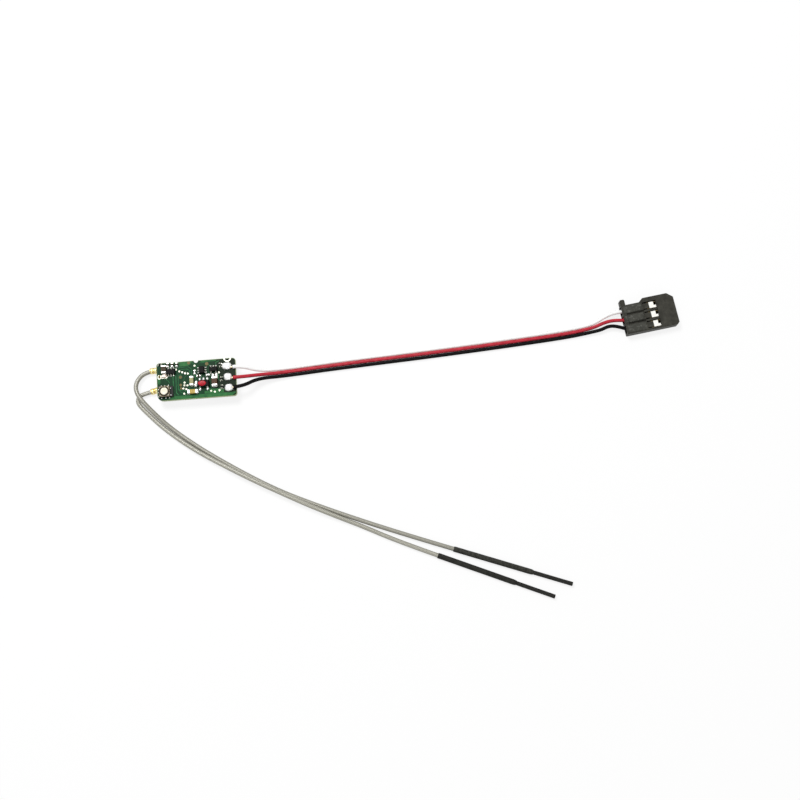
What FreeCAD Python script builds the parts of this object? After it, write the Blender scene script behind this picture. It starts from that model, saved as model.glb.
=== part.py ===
import FreeCAD, Part
import math
import os
import Sketcher

# A small radio-control receiver: a circuit board with two wire antennas on coaxial cable
# and a three-wire lead that ends in a three-way plug.
# Millimetres. The origin is under the middle of the board, on the surface that the object lies on.
# X runs along the board towards the lead, Y across it, Z up.

os.makedirs("parts", exist_ok=True)
doc = FreeCAD.newDocument("rc_receiver")
V = FreeCAD.Vector

sheet = doc.addObject("Spreadsheet::Sheet", "Sizes")
SIZES = [
    # the board
    ("board_length", 20.4, "board, along X"),
    ("board_width", 10.0, "board, along Y"),
    ("board_thickness", 0.8, "board laminate"),
    ("board_corner", 0.8, "radius of three board corners"),
    ("board_large_corner", 1.6, "radius of the corner beside the button"),
    ("notch_radius", 0.6, "half-round notch in the far edge"),
    ("notch_x", 0.0, "notch, along X"),
    ("pad_thickness", 0.04, "tinned copper on the board"),
    ("pad_margin", 0.12, "how far a pad reaches past what is soldered to it"),
    ("via_outer", 0.46, "diameter of a plated ring"),
    ("via_inner", 0.22, "diameter of the hole in it"),
    # the button
    ("switch_from_left", 1.95, "button centre from the left edge"),
    ("switch_from_near", 2.32, "button centre from the near edge"),
    ("switch_side", 2.8, "square base of the button"),
    ("switch_height", 0.9, "base height over the board"),
    ("switch_ledge", 0.85, "low ledge beside the base"),
    ("switch_ledge_height", 0.5, "height of the ledge"),
    ("switch_floor", 0.3, "floor of the base under the dome"),
    ("cover_thickness", 0.12, "sheet metal frame of the button"),
    ("cover_hole", 2.4, "round hole in the frame"),
    ("plunger_top", 1.85, "diameter of the round button"),
    ("plunger_rise", 0.32, "button above the frame"),
    ("plunger_flange", 2.52, "flange that the frame keeps in"),
    ("plunger_flange_height", 0.18, "height of that flange"),
    ("plunger_play", 0.04, "gap round the flange in the base"),
    ("dome_diameter", 2.2, "snap dome"),
    ("dome_sheet", 0.05, "thickness of the snap dome"),
    ("lump_radius", 0.19, "solder point"),
    # the parts on top
    ("regulator_length", 2.9, "voltage regulator body"),
    ("regulator_width", 1.6, "voltage regulator body"),
    ("regulator_height", 1.05, "voltage regulator body"),
    ("regulator_x", 1.8, "voltage regulator"),
    ("regulator_y", -1.35, "voltage regulator"),
    ("regulator_pitch", 0.95, "lead spacing"),
    ("regulator_lead", 0.42, "lead width"),
    ("regulator_reach", 0.62, "lead reach from the body"),
    ("lacquer_length", 2.1, "lacquer dot"),
    ("lacquer_width", 1.4, "lacquer dot"),
    ("lacquer_thickness", 0.06, "lacquer dot"),
    ("lacquer_offset", -0.3, "lacquer dot from the regulator's middle"),
    ("amplifier_length", 1.35, "amplifier body along X"),
    ("amplifier_width", 1.8, "amplifier body along Y"),
    ("amplifier_x", 1.5, "amplifier"),
    ("amplifier_y", 2.3, "amplifier"),
    ("inverter_length", 2.05, "inverter body along X"),
    ("inverter_width", 1.15, "inverter body along Y"),
    ("inverter_x", 4.45, "inverter"),
    ("inverter_y", 2.3, "inverter"),
    ("antenna_switch_length", 2.2, "antenna switch body along X"),
    ("antenna_switch_width", 1.35, "antenna switch body along Y"),
    ("antenna_switch_from_left", 3.76, "antenna switch from the left edge"),
    ("antenna_switch_from_far", 2.56, "antenna switch from the far edge"),
    ("small_chip_height", 0.85, "body height of the three small chips"),
    ("small_pitch", 0.65, "lead spacing of the small chips"),
    ("small_lead", 0.26, "lead width of the small chips"),
    ("small_reach", 0.42, "lead reach of the small chips"),
    ("lead_thickness", 0.13, "lead sheet"),
    ("body_standoff", 0.08, "gap between a chip body and its pads"),
    ("ceramic_length", 2.4, "brown ceramic capacitor"),
    ("ceramic_width", 1.35, "brown ceramic capacitor"),
    ("ceramic_height", 1.1, "brown ceramic capacitor"),
    ("ceramic_cap", 0.5, "its end cap"),
    ("bead_length", 2.4, "beige bead"),
    ("bead_width", 0.95, "beige bead"),
    ("bead_height", 0.85, "beige bead"),
    ("bead_cap", 0.45, "its end cap"),
    ("tan_length", 2.6, "tan capacitor"),
    ("tan_width", 1.0, "tan capacitor"),
    ("tan_height", 0.9, "tan capacitor"),
    ("tan_cap", 0.6, "its end cap"),
    ("filter_length", 1.9, "dark radio filter"),
    ("filter_width", 1.25, "dark radio filter"),
    ("filter_height", 0.6, "dark radio filter"),
    ("filter_cap", 0.32, "its end cap"),
    ("chip_height", 0.42, "small chip resistors and capacitors"),
    ("chip_cap_share", 0.26, "end cap of a small chip as a share of its length"),
    # the solder joints of the lead
    ("joint_from_right", 2.15, "solder joints from the right edge"),
    ("bare_wire", 0.75, "where the insulation starts, from the right edge"),
    ("joint_pitch", 2.86, "solder joint spacing"),
    ("joint_y", 0.04, "middle solder joint"),
    ("joint_step", 0.15, "how much further out each next joint lies"),
    ("joint_length", 2.2, "solder joint along X"),
    ("joint_stretch", 0.4, "how much longer the signal joint is"),
    ("joint_width", 1.8, "solder joint along Y"),
    ("joint_height", 0.85, "solder joint"),
    ("strand_diameter", 0.46, "stripped end of a wire"),
    # under the board
    ("socket_from_left", 1.45, "antenna sockets from the left edge"),
    ("socket_from_far", 1.32, "far antenna socket from the far edge"),
    ("socket_from_near", 3.75, "near antenna socket from the near edge"),
    ("socket_base", 2.5, "square insulator of a socket"),
    ("socket_base_height", 0.38, "insulator of a socket"),
    ("socket_ring", 2.0, "outer diameter of a socket ring"),
    ("socket_ring_wall", 0.15, "wall of a socket ring"),
    ("socket_ring_height", 0.85, "height of a socket ring past its insulator"),
    ("socket_pin", 0.46, "centre pin"),
    ("head_wall", 0.3, "wall of an antenna plug"),
    ("head_cap", 0.25, "closed end of an antenna plug"),
    ("head_fit", 0.02, "gap between an antenna plug and its socket ring"),
    ("head_height", 1.95, "height of an antenna plug"),
    ("barrel_length", 2.2, "crimp barrel past the antenna plug"),
    ("barrel_wall", 0.17, "wall of a crimp barrel"),
    ("barrel_mouth", 0.5, "length of the flared mouth"),
    ("barrel_flare", 0.12, "flare of the mouth"),
    ("barrel_fit", 0.01, "gap between a crimp barrel and its cable"),
    ("far_plug_turn", 180.0, "way the far antenna plug points, degrees"),
    ("near_plug_turn", 190.0, "way the near antenna plug points, degrees"),
    ("can_length", 8.6, "shield can along X"),
    ("can_width", 8.6, "shield can along Y"),
    ("can_sheet", 0.2, "sheet of the shield can"),
    ("can_corner", 0.5, "corner radius of the shield can"),
    ("can_x", -1.5, "shield can"),
    ("can_vent", 0.8, "vent hole in the shield can"),
    ("can_vent_pitch", 2.2, "vent hole spacing"),
    ("transceiver_side", 4.0, "transceiver chip"),
    ("transceiver_height", 0.9, "transceiver chip"),
    ("transceiver_x", -3.1, "transceiver chip"),
    ("crystal_length", 3.2, "crystal"),
    ("crystal_width", 2.5, "crystal"),
    ("crystal_height", 0.8, "crystal"),
    ("crystal_x", 0.9, "crystal"),
    ("controller_side", 5.0, "microcontroller chip"),
    ("controller_height", 0.9, "microcontroller chip"),
    ("controller_x", 6.3, "microcontroller chip"),
    # antennas
    ("coax_diameter", 1.13, "coaxial cable"),
    ("sleeve_diameter", 1.44, "sleeve"),
    ("sleeve_length", 20.8, "sleeve"),
    ("sleeve_grip", 2.0, "length of cable inside the sleeve"),
    ("sleeve_fit", 0.01, "gap between the sleeve and its cable"),
    ("tip_diameter", 1.08, "antenna tip"),
    ("tip_length", 10.1, "antenna tip"),
    ("end_rounding", 0.18, "rounded ends of sleeves and tips"),
    ("far_sleeve_x", 62.2, "far sleeve start"),
    ("far_sleeve_y", -48.17, "far sleeve start"),
    ("far_sleeve_turn", -20.9, "far sleeve direction, degrees"),
    ("near_sleeve_x", 58.1, "near sleeve start"),
    ("near_sleeve_y", -49.48, "near sleeve start"),
    ("near_sleeve_turn", -23.8, "near sleeve direction, degrees"),
    # the lead
    ("wire_diameter", 0.93, "insulated wire"),
    # the plug
    ("plug_x", 112.1, "near rear corner of the plug"),
    ("plug_y", 3.36, "near rear corner of the plug"),
    ("plug_turn", 7.5, "plug direction, degrees"),
    ("plug_length", 14.0, "plug"),
    ("plug_width", 7.84, "plug"),
    ("plug_height", 2.6, "plug"),
    ("flange_width", 0.92, "side rib of the plug"),
    ("flange_start", 4.9, "foot of the rib's ramp"),
    ("flange_ramp", 1.1, "length of the rib's ramp"),
    ("front_slope", 1.5, "sloped front corner of the rib, along the plug"),
    ("front_slope_across", 1.25, "sloped front corner of the rib, across the plug"),
    ("front_bevel", 0.55, "near front corner, along the plug"),
    ("front_bevel_across", 0.55, "near front corner, across the plug"),
    ("pin_pitch", 2.54, "spacing of the three ways"),
    ("first_way", 1.46, "first way from the near side"),
    ("cavity_width", 2.05, "contact cavity"),
    ("cavity_height", 1.8, "contact cavity"),
    ("cavity_bottom", 0.35, "wall under the cavities"),
    ("front_wall", 1.4, "wall in front of the contacts"),
    ("pin_hole", 1.0, "square hole for a header pin"),
    ("recess_start", 5.6, "recess that the windows lie in"),
    ("recess_length", 3.65, "recess"),
    ("recess_depth", 0.3, "recess"),
    ("recess_edge", 0.44, "wall left at the near side of the recess"),
    ("recess_far_edge", 0.28, "wall left at the far side of the recess"),
    ("window_start", 7.33, "window"),
    ("window_length", 1.87, "window"),
    ("window_width", 2.0, "window"),
    ("slot_width", 0.36, "slot between two latch fingers"),
    ("slot_start", 1.0, "rear end of a slot"),
    ("slot_depth", 0.45, "slot"),
    ("slot_chamfer", 0.12, "bevel along a slot"),
    ("tongue_start", 5.7, "where a finger narrows to its tongue"),
    ("tongue_gap", 0.3, "gap beside a tongue"),
    ("plug_rounding", 0.2, "rounded outer edges of the plug"),
    ("nub_start", 0.15, "grip nub at the rear"),
    ("nub_length", 1.3, "grip nub at the rear"),
    ("nub_width", 1.69, "grip nub at the rear"),
    ("nub_height", 1.8, "grip nub at the rear"),
    ("nub_rounding", 0.4, "rounded corner of the nub"),
    ("contact_width", 1.7, "contact box"),
    ("contact_height", 1.55, "contact box"),
    ("contact_sheet", 0.18, "contact sheet"),
    ("contact_start", 6.75, "rear end of the contact box"),
    ("contact_gap", 0.06, "gap between the contact box and the front wall"),
    ("lance_length", 1.22, "latch bridge across the contact, seen in the window"),
    ("lance_width", 1.6, "latch bridge"),
    ("lance_rise", 0.22, "latch bridge, over the top of the box"),
    ("hook_length", 0.6, "step in front of the latch bridge"),
    ("hook_width", 0.65, "step in front of the latch bridge"),
    ("crimp_outer", 1.42, "crimp round the insulation"),
    ("crimp_fit", 0.01, "gap in the crimps"),
    ("crimp_length", 1.3, "either crimp, along the wire"),
    ("strand_crimp", 0.9, "square crimp round the bare strands"),
    ("neck_width", 0.8, "strip that joins the crimps to the contact box"),
    ("wire_end", 3.3, "end of the insulation in the plug"),
]
# values that follow from the ones above
FOLLOWING = [
    ("right_edge", "=board_length / 2"),
    ("left_edge", "=0 - board_length / 2"),
    ("far_edge", "=board_width / 2"),
    ("near_edge", "=0 - board_width / 2"),
    ("switch_x", "=left_edge + switch_from_left"),
    ("switch_y", "=near_edge + switch_from_near"),
    ("antenna_switch_x", "=left_edge + antenna_switch_from_left"),
    ("antenna_switch_y", "=far_edge - antenna_switch_from_far"),
    ("joint_x", "=right_edge - joint_from_right"),
    ("socket_x", "=left_edge + socket_from_left"),
    ("socket_far_y", "=far_edge - socket_from_far"),
    ("socket_near_y", "=near_edge + socket_from_near"),
    ("board_bottom", "=head_height + socket_base_height + head_fit * 3.5"),
    ("board_top", "=board_bottom + board_thickness"),
    ("pad_top", "=board_top + pad_thickness"),
    ("cavity_middle", "=cavity_bottom + cavity_height / 2"),
    ("coax_height", "=coax_diameter / 2 + barrel_fit + barrel_wall"),
    ("switch_top", "=board_top + switch_height"),
    ("dome_height", "=switch_height - switch_floor - plunger_flange_height"),
]
row = 1
for alias, number, note in SIZES:
    sheet.set("A%d" % row, note)
    sheet.set("B%d" % row, str(number))
    sheet.setAlias("B%d" % row, alias)
    row += 1
for alias, formula in FOLLOWING:
    sheet.set("B%d" % row, formula)
    sheet.setAlias("B%d" % row, alias)
    row += 1
doc.recompute()
NAMES = [item[0] for item in SIZES] + [item[0] for item in FOLLOWING]


def size(alias):
    """The number that the sheet holds under this name."""
    return float(sheet.get(alias))


def linked(formula):
    """The same formula with every sheet name pointed at the sheet."""
    words = []
    for word in formula.split(" "):
        words.append("Sizes." + word if word in NAMES else word)
    return " ".join(words)


final = {}


def keep(item, node):
    """Marks an object as one of the finished pieces."""
    item.Label = node
    final[node] = item
    return item


def block(name, length, width, height, x, y, z):
    """A rectangular block whose sizes and corner are formulas on the sheet."""
    item = doc.addObject("Part::Box", name)
    item.setExpression("Length", linked(length))
    item.setExpression("Width", linked(width))
    item.setExpression("Height", linked(height))
    item.setExpression("Placement.Base.x", linked(x))
    item.setExpression("Placement.Base.y", linked(y))
    item.setExpression("Placement.Base.z", linked(z))
    return item


def rod(name, radius, height, x, y, z):
    """An upright cylinder whose sizes and foot are formulas on the sheet."""
    item = doc.addObject("Part::Cylinder", name)
    item.setExpression("Radius", linked(radius))
    item.setExpression("Height", linked(height))
    item.setExpression("Placement.Base.x", linked(x))
    item.setExpression("Placement.Base.y", linked(y))
    item.setExpression("Placement.Base.z", linked(z))
    return item


def cut(name, base, tool):
    item = doc.addObject("Part::Cut", name)
    item.Base = base
    item.Tool = tool
    return item


def fuse(name, items):
    item = doc.addObject("Part::MultiFuse", name)
    item.Shapes = items
    return item


def together(name, items):
    item = doc.addObject("Part::Compound", name)
    item.Links = items
    return item


def shaped(node, shape, placement=None):
    """A piece whose shape is worked out in code from the sheet."""
    item = doc.addObject("Part::Feature", node)
    item.Shape = shape
    if placement is not None:
        item.Placement = placement
    return keep(item, node)


def solid_of(item):
    doc.recompute()
    return item.Shape


# Sketched bodies


def plane_of(body, role):
    return [f for f in body.Origin.OriginFeatures if f.Role == role][0]


def outline(body, name, points, height="0", role="XY_Plane"):
    """A closed outline of straight lines. Each corner is a pair of formulas."""
    sketch = body.newObject("Sketcher::SketchObject", name)
    sketch.AttachmentSupport = [(plane_of(body, role), "")]
    sketch.MapMode = "FlatFace"
    sketch.setExpression("AttachmentOffset.Base.z", linked(height))
    spots = []
    for across, along in points:
        sheet.set("D1", "=" + across)
        sheet.set("D2", "=" + along)
        doc.recompute()
        spots.append(V(float(sheet.get("D1")), float(sheet.get("D2")), 0))
    count = len(points)
    for k in range(count):
        sketch.addGeometry(Part.LineSegment(spots[k], spots[(k + 1) % count]), False)
    for k in range(count):
        sketch.addConstraint(Sketcher.Constraint("Coincident", k, 2, (k + 1) % count, 1))
    for k in range(count):
        for kind, axis, spot, text in (
            ("DistanceX", -2, spots[k].x, points[k][0]),
            ("DistanceY", -1, spots[k].y, points[k][1]),
        ):
            if text == "0":
                sketch.addConstraint(Sketcher.Constraint("PointOnObject", k, 1, axis))
                continue
            number = sketch.addConstraint(Sketcher.Constraint(kind, -1, 1, k, 1, spot))
            label = "%s_%d" % (kind.lower(), k)
            sketch.renameConstraint(number, label)
            sketch.setExpression("Constraints." + label, linked(text))
    return sketch


def round_outline(body, name, x, y, diameter, height="0"):
    """One circle, placed and sized by formulas."""
    sketch = body.newObject("Sketcher::SketchObject", name)
    sketch.AttachmentSupport = [(plane_of(body, "XY_Plane"), "")]
    sketch.MapMode = "FlatFace"
    sketch.setExpression("AttachmentOffset.Base.x", linked(x))
    sketch.setExpression("AttachmentOffset.Base.y", linked(y))
    sketch.setExpression("AttachmentOffset.Base.z", linked(height))
    sketch.addGeometry(Part.Circle(V(0, 0, 0), V(0, 0, 1), 1.0), False)
    sketch.addConstraint(Sketcher.Constraint("Coincident", 0, 3, -1, 1))
    number = sketch.addConstraint(Sketcher.Constraint("Diameter", 0, 2.0))
    sketch.renameConstraint(number, "across")
    sketch.setExpression("Constraints.across", linked(diameter))
    return sketch


def rectangle(x, y, length, width):
    """Corner formulas of a rectangle from its first corner."""
    x_far = length if x == "0" else x + " + " + length
    y_far = width if y == "0" else y + " + " + width
    return [(x, y), (x_far, y), (x_far, y_far), (x, y_far)]


def pad(body, name, sketch, length):
    item = body.newObject("PartDesign::Pad", name)
    item.Profile = sketch
    item.setExpression("Length", linked(length))
    return item


def pocket(body, name, sketch, length, upwards=True):
    """A pocket that cuts upwards from its sketch, or downwards."""
    item = body.newObject("PartDesign::Pocket", name)
    item.Profile = sketch
    item.Reversed = upwards
    item.setExpression("Length", linked(length))
    return item


def row_of(body, name, features, sketch, axis, length, count):
    item = body.newObject("PartDesign::LinearPattern", name)
    item.Originals = features
    item.Direction = (sketch, [axis])
    item.setExpression("Length", linked(length))
    item.Occurrences = count
    body.Tip = item
    return item


def upright_edges(shape, spots, reach):
    """Names of the upright edges that stand at these spots."""
    names = []
    for number, edge in enumerate(shape.Edges, start=1):
        first, last = edge.Vertexes[0].Point, edge.Vertexes[-1].Point
        if abs(first.x - last.x) > 1e-6 or abs(first.y - last.y) > 1e-6:
            continue
        for spot in spots:
            if math.hypot(first.x - spot[0], first.y - spot[1]) < reach:
                names.append("Edge%d" % number)
    return names


def rounded(body, name, base, names, radius):
    item = body.newObject("PartDesign::Fillet", name)
    item.Base = (base, names)
    item.setExpression("Radius", linked(radius))
    return item


# Circuit board: cut from one sheet of laminate, its corners milled round
board = doc.addObject("PartDesign::Body", "board_body")
board.setExpression("Placement.Base.x", linked("0 - board_length / 2"))
board.setExpression("Placement.Base.y", linked("0 - board_width / 2"))
board.setExpression("Placement.Base.z", linked("board_bottom"))
board_sketch = outline(board, "board_outline", rectangle("0", "0", "board_length", "board_width"))
board_pad = pad(board, "board_sheet", board_sketch, "board_thickness")
doc.recompute()
length, width = size("board_length"), size("board_width")
corners = [(length, 0), (length, width), (0, width)]
names = upright_edges(board_pad.Shape, corners, 0.01)
board_round = rounded(board, "board_corners", board_pad, names, "board_corner")
doc.recompute()
names = upright_edges(board_round.Shape, [(0, 0)], 0.01)
board_large = rounded(board, "board_large_corner", board_round, names, "board_large_corner")
notch_sketch = round_outline(
    board, "notch_outline", "board_length / 2 + notch_x", "board_width", "notch_radius * 2"
)
pocket(board, "notch", notch_sketch, "board_thickness")
keep(board, "circuit_board")

# Voltage regulator, amplifier, inverter and antenna switch: moulded bodies with bent leads


def bent_lead(x, y, turn, lead_width, reach, height):
    """A lead from the side of a moulded body down to its pad. It points along the turn."""
    top = size("pad_top") + size("body_standoff") + height * 0.52
    foot = size("pad_top")
    sheet_t = size("lead_thickness")
    knee = reach * 0.35
    profile = [
        (0, top),
        (knee + sheet_t, top),
        (knee + sheet_t, foot + sheet_t),
        (reach, foot + sheet_t),
        (reach, foot),
        (knee, foot),
        (knee, top - sheet_t),
        (0, top - sheet_t),
    ]
    points = [V(u, -lead_width / 2, z) for u, z in profile]
    face = Part.Face(Part.makePolygon(points + points[:1]))
    lead = face.extrude(V(0, lead_width, 0))
    lead.Placement = FreeCAD.Placement(V(x, y, 0), FreeCAD.Rotation(V(0, 0, 1), turn))
    return lead


def chip(node, prefix, height, pitch, lead_width, reach, far, near, sideways=False):
    """A moulded body and its leads. far and near are lead places in steps of the pitch."""
    body = block(
        node + "_block",
        prefix + "_length",
        prefix + "_width",
        height,
        prefix + "_x - " + prefix + "_length / 2",
        prefix + "_y - " + prefix + "_width / 2",
        "pad_top + body_standoff",
    )
    doc.recompute()
    bevel = doc.addObject("Part::Chamfer", node + "_bevel")
    bevel.Base = body
    top = body.Shape.BoundBox.ZMax
    edges = []
    for number, edge in enumerate(body.Shape.Edges, start=1):
        if edge.BoundBox.ZMin > top - 1e-6:
            edges.append((number, 0.12, 0.12))
    bevel.Edges = edges
    keep(bevel, node + "_body")
    x, y = size(prefix + "_x"), size(prefix + "_y")
    half_x, half_y = size(prefix + "_length") / 2, size(prefix + "_width") / 2
    leads = []
    for places, side in ((far, 1), (near, -1)):
        for step in places:
            shift = step * size(pitch)
            if sideways:
                spot = (x + side * half_x, y + shift, 0 if side > 0 else 180)
            else:
                spot = (x + shift, y + side * half_y, 90 * side)
            leads.append(
                bent_lead(spot[0], spot[1], spot[2], size(lead_width), size(reach), size(height))
            )
    shaped(node + "_leads", Part.makeCompound(leads))
    return leads


lead_sets = []
lead_sets.append(
    chip("regulator", "regulator", "regulator_height", "regulator_pitch", "regulator_lead",
         "regulator_reach", (-1, 0, 1), (-1, 1))
)
lead_sets.append(
    chip("amplifier", "amplifier", "small_chip_height", "small_pitch", "small_lead",
         "small_reach", (-1, 0, 1), (-1, 0, 1), True)
)
lead_sets.append(
    chip("inverter", "inverter", "small_chip_height", "small_pitch", "small_lead",
         "small_reach", (-1, 0, 1), (-1, 1))
)
lead_sets.append(
    chip("antenna_switch", "antenna_switch", "small_chip_height", "small_pitch", "small_lead",
         "small_reach", (-1, 0, 1), (-1, 0, 1))
)

# Lacquer dot: a flat oval of paint on the regulator
dot_x = size("regulator_x") + size("lacquer_offset")
dot_z = size("pad_top") + size("body_standoff") + size("regulator_height")
oval = Part.Ellipse(
    V(dot_x, size("regulator_y"), dot_z), size("lacquer_length") / 2, size("lacquer_width") / 2
)
dot = Part.Face(Part.Wire([oval.toShape()])).extrude(V(0, 0, size("lacquer_thickness")))
shaped("lacquer_dot", dot)

# Chip resistors and capacitors: a ceramic body between two tinned end caps


def capped_chip(length, width, height, cap, x, y, turn):
    """Body and end caps of one chip, turned about its own middle."""
    foot = size("pad_top")
    place = FreeCAD.Placement(V(x, y, foot), FreeCAD.Rotation(V(0, 0, 1), turn))
    middle = Part.makeBox(length - 2 * cap, width, height, V(cap - length / 2, -width / 2, 0))
    ends = []
    for start in (-length / 2, length / 2 - cap):
        end = Part.makeBox(cap, width, height, V(start, -width / 2, 0))
        edges = []
        for edge in end.Edges:
            box = edge.BoundBox
            if box.ZMin > height - 1e-6 and abs(abs(box.Center.x) - length / 2) < 1e-6:
                edges.append(edge)
        ends.append(end.makeFillet(min(0.1, cap / 3), edges))
    for shape in [middle] + ends:
        shape.Placement = place
    return middle, ends


footprints = []


def single_chip(node, prefix, x, y, turn):
    length, width = size(prefix + "_length"), size(prefix + "_width")
    middle, ends = capped_chip(
        length, width, size(prefix + "_height"), size(prefix + "_cap"), x, y, turn
    )
    shaped(node + "_body", middle)
    shaped(node + "_ends", Part.makeCompound(ends))
    footprints.append((length, width, x, y, turn))


left, far, near = size("left_edge"), size("far_edge"), size("near_edge")
single_chip("ceramic_capacitor", "ceramic", 4.66, -1.0, 90)
single_chip("bead", "bead", -1.24, -0.4, 90)
single_chip("tan_capacitor", "tan", -1.04, near + 1.8, 0)
single_chip("radio_filter", "filter", left + 1.9, far - 1.75, 90)

# length, width, place along X and Y, turn
RESISTORS = [
    (0.95, 0.5, 6.35, -0.35, 90),
    (0.95, 0.5, 6.2, far - 1.65, 90),
    (0.95, 0.5, 6.4, near + 2.55, 90),
    (0.95, 0.5, left + 0.95, far - 0.45, 0),
]
CAPACITORS = [
    (1.3, 0.7, 4.7, 0.72, 0),
    (1.35, 0.55, -0.15, -1.2, 82),
    (0.95, 0.5, -0.4, 1.95, 90),
    (0.85, 0.45, 2.95, 0.95, 0),
    (0.95, 0.45, 0.6, 0.9, 0),
    (1.0, 0.6, left + 2.95, far - 0.7, 90),
    (1.0, 0.6, left + 4.1, far - 0.7, 90),
    (1.0, 0.5, left + 5.25, far - 0.75, 90),
]


def chip_group(node, table):
    bodies, caps = [], []
    for length, width, x, y, turn in table:
        cap = length * size("chip_cap_share")
        middle, ends = capped_chip(length, width, size("chip_height"), cap, x, y, turn)
        bodies.append(middle)
        caps.extend(ends)
        footprints.append((length, width, x, y, turn))
    shaped(node + "_bodies", Part.makeCompound(bodies))
    shaped(node + "_ends", Part.makeCompound(caps))


chip_group("chip_resistor", RESISTORS)
chip_group("chip_capacitor", CAPACITORS)

# Tinned pads: thin copper under every lead, end cap and solder joint, and a few bare ones
thin = size("pad_thickness")
margin = size("pad_margin")
pads = []


def flat_pad(length, width, x, y, turn=0):
    shape = Part.makeBox(length, width, thin, V(-length / 2, -width / 2, 0))
    spot = V(x, y, size("board_top"))
    shape.Placement = FreeCAD.Placement(spot, FreeCAD.Rotation(V(0, 0, 1), turn))
    pads.append(shape)


for length, width, x, y, turn in footprints:
    end = length * 0.3
    for side in (-1, 1):
        off = side * (length / 2 + margin - end / 2)
        angle = math.radians(turn)
        flat_pad(end, width + margin, x + off * math.cos(angle), y + off * math.sin(angle), turn)
for leads in lead_sets:
    for lead in leads:
        box = lead.BoundBox
        middle = box.Center
        long_way = box.YLength > box.XLength
        # the pad lies under the foot, so it reaches out past the lead's end
        own = lead.Placement.Rotation.multVec(V(1, 0, 0))
        reach = max(box.XLength, box.YLength)
        spot = V(middle.x, middle.y, 0) + own * (reach * 0.25)
        if long_way:
            flat_pad(box.XLength + 0.1, reach * 0.8, spot.x, spot.y)
        else:
            flat_pad(reach * 0.8, box.YLength + 0.1, spot.x, spot.y)
JOINTS = []
for step in (1, 0, -1):
    stretch = size("joint_stretch") if step == 1 else 0.0
    JOINTS.append((
        size("joint_x") - step * size("joint_step"),
        size("joint_y") + step * size("joint_pitch"),
        size("joint_length") + stretch,
    ))
for joint_x, joint_y, joint_length in JOINTS:
    flat_pad(joint_length + 0.1, size("joint_width") + 0.1, joint_x, joint_y)
flat_pad(1.7, 0.9, left + 1.9, 1.35)
flat_pad(0.75, 1.1, left + 0.65, 1.3)
# half ring round an edge hole beside the signal joint
ring = Part.makeCylinder(0.95, thin).cut(Part.makeCylinder(0.66, thin))
ring.translate(V(size("joint_x") + 0.05, size("board_width") / 2, size("board_top")))
half = Part.makeBox(4, 1, thin, V(size("joint_x") - 2, size("board_width") / 2 - 1, size("board_top")))
pads.append(ring.common(half).Solids[0])
pad_shape = pads[0].multiFuse(pads[1:])
shaped("solder_pads", Part.makeCompound(pad_shape.Solids))

# Vias: plated rings in the green lacquer
VIAS = [
    (-3.08, -0.6), (-3.16, -1.33), (-3.48, -2.15), (-2.72, -2.35), (-2.4, -1.39),
    (-3.3, near + 1.5), (5.75, near + 1.7), (3.6, near + 1.7), (4.54, near + 1.4), (5.8, 1.4),
    (-5.2, far - 2.0), (-4.32, 2.46), (-3.61, 2.16), (-2.9, 1.85), (-2.2, 1.71),
    (-0.36, far - 1.37), (2.95, far - 1.05), (-1.81, far - 0.5),
]
rings = []
for x, y in VIAS:
    outer = Part.makeCylinder(size("via_outer") / 2, thin, V(x, y, size("board_top")))
    inner = Part.makeCylinder(size("via_inner") / 2, thin, V(x, y, size("board_top")))
    rings.append(outer.cut(inner))
shaped("vias", Part.makeCompound(rings))

# Solder joints: one oval mound on each wire end


def mound(x, y, length, width, height, strand):
    """A solder mound on its pad, with the channel that its wire end lies in."""
    half = width / 2
    straight = length - width
    foot = size("pad_top")
    base = Part.makeCylinder(half, height, V(-straight / 2, 0, 0))
    base = base.fuse(Part.makeBox(straight, width, height, V(-straight / 2, -half, 0)))
    base = base.fuse(Part.makeCylinder(half, height, V(straight / 2, 0, 0))).removeSplitter()
    rims = [e for e in base.Edges if e.BoundBox.ZMin > height - 1e-6]
    base = base.makeFillet(height * 0.75, rims)
    base.translate(V(x, y, foot))
    return base.cut(strand)


strand_radius = size("strand_diameter") / 2
wire_radius = size("wire_diameter") / 2
wire_level = size("board_top") + wire_radius + 0.03
strand_level = wire_level - 0.12
insulation_start = size("right_edge") - size("bare_wire")
# the wires don't leave the middle of their joints: each lies a little to the near side
wire_spots = []
strands = []
for joint, lean in zip(JOINTS, (0.4, 0.35, 0.03)):
    wire_spots.append(joint[1] - lean)
    strip_start = joint[0] + joint[2] / 2 - 0.8
    long = insulation_start - strip_start
    strands.append(
        Part.makeCylinder(
            strand_radius, long, V(strip_start, joint[1] - lean, strand_level), V(1, 0, 0)
        )
    )
shaped("stripped_ends", Part.makeCompound(strands))
for node, joint, strand in zip(("signal_joint", "power_joint", "ground_joint"), JOINTS, strands):
    joint_x, joint_y, joint_length = joint
    shaped(
        node,
        mound(joint_x, joint_y, joint_length, size("joint_width"), size("joint_height"), strand),
    )

# Button: moulded base, snap dome, plunger and a sheet metal frame that keeps it in
base = doc.addObject("PartDesign::Body", "switch_base_body")
base.setExpression("Placement.Base.x", linked("switch_x - switch_side / 2"))
base.setExpression("Placement.Base.y", linked("switch_y - switch_side / 2"))
base.setExpression("Placement.Base.z", linked("board_top"))
block_sketch = outline(base, "base_outline", rectangle("0", "0", "switch_side", "switch_side"))
pad(base, "base_block", block_sketch, "switch_height")
ledge_sketch = outline(
    base, "ledge_outline", rectangle("switch_side", "0", "switch_ledge", "switch_side")
)
pad(base, "base_ledge", ledge_sketch, "switch_ledge_height")
well_sketch = round_outline(
    base, "well_outline", "switch_side / 2", "switch_side / 2",
    "plunger_flange + plunger_play * 2", "switch_floor"
)
pocket(base, "base_well", well_sketch, "switch_height")
keep(base, "switch_base")

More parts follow.
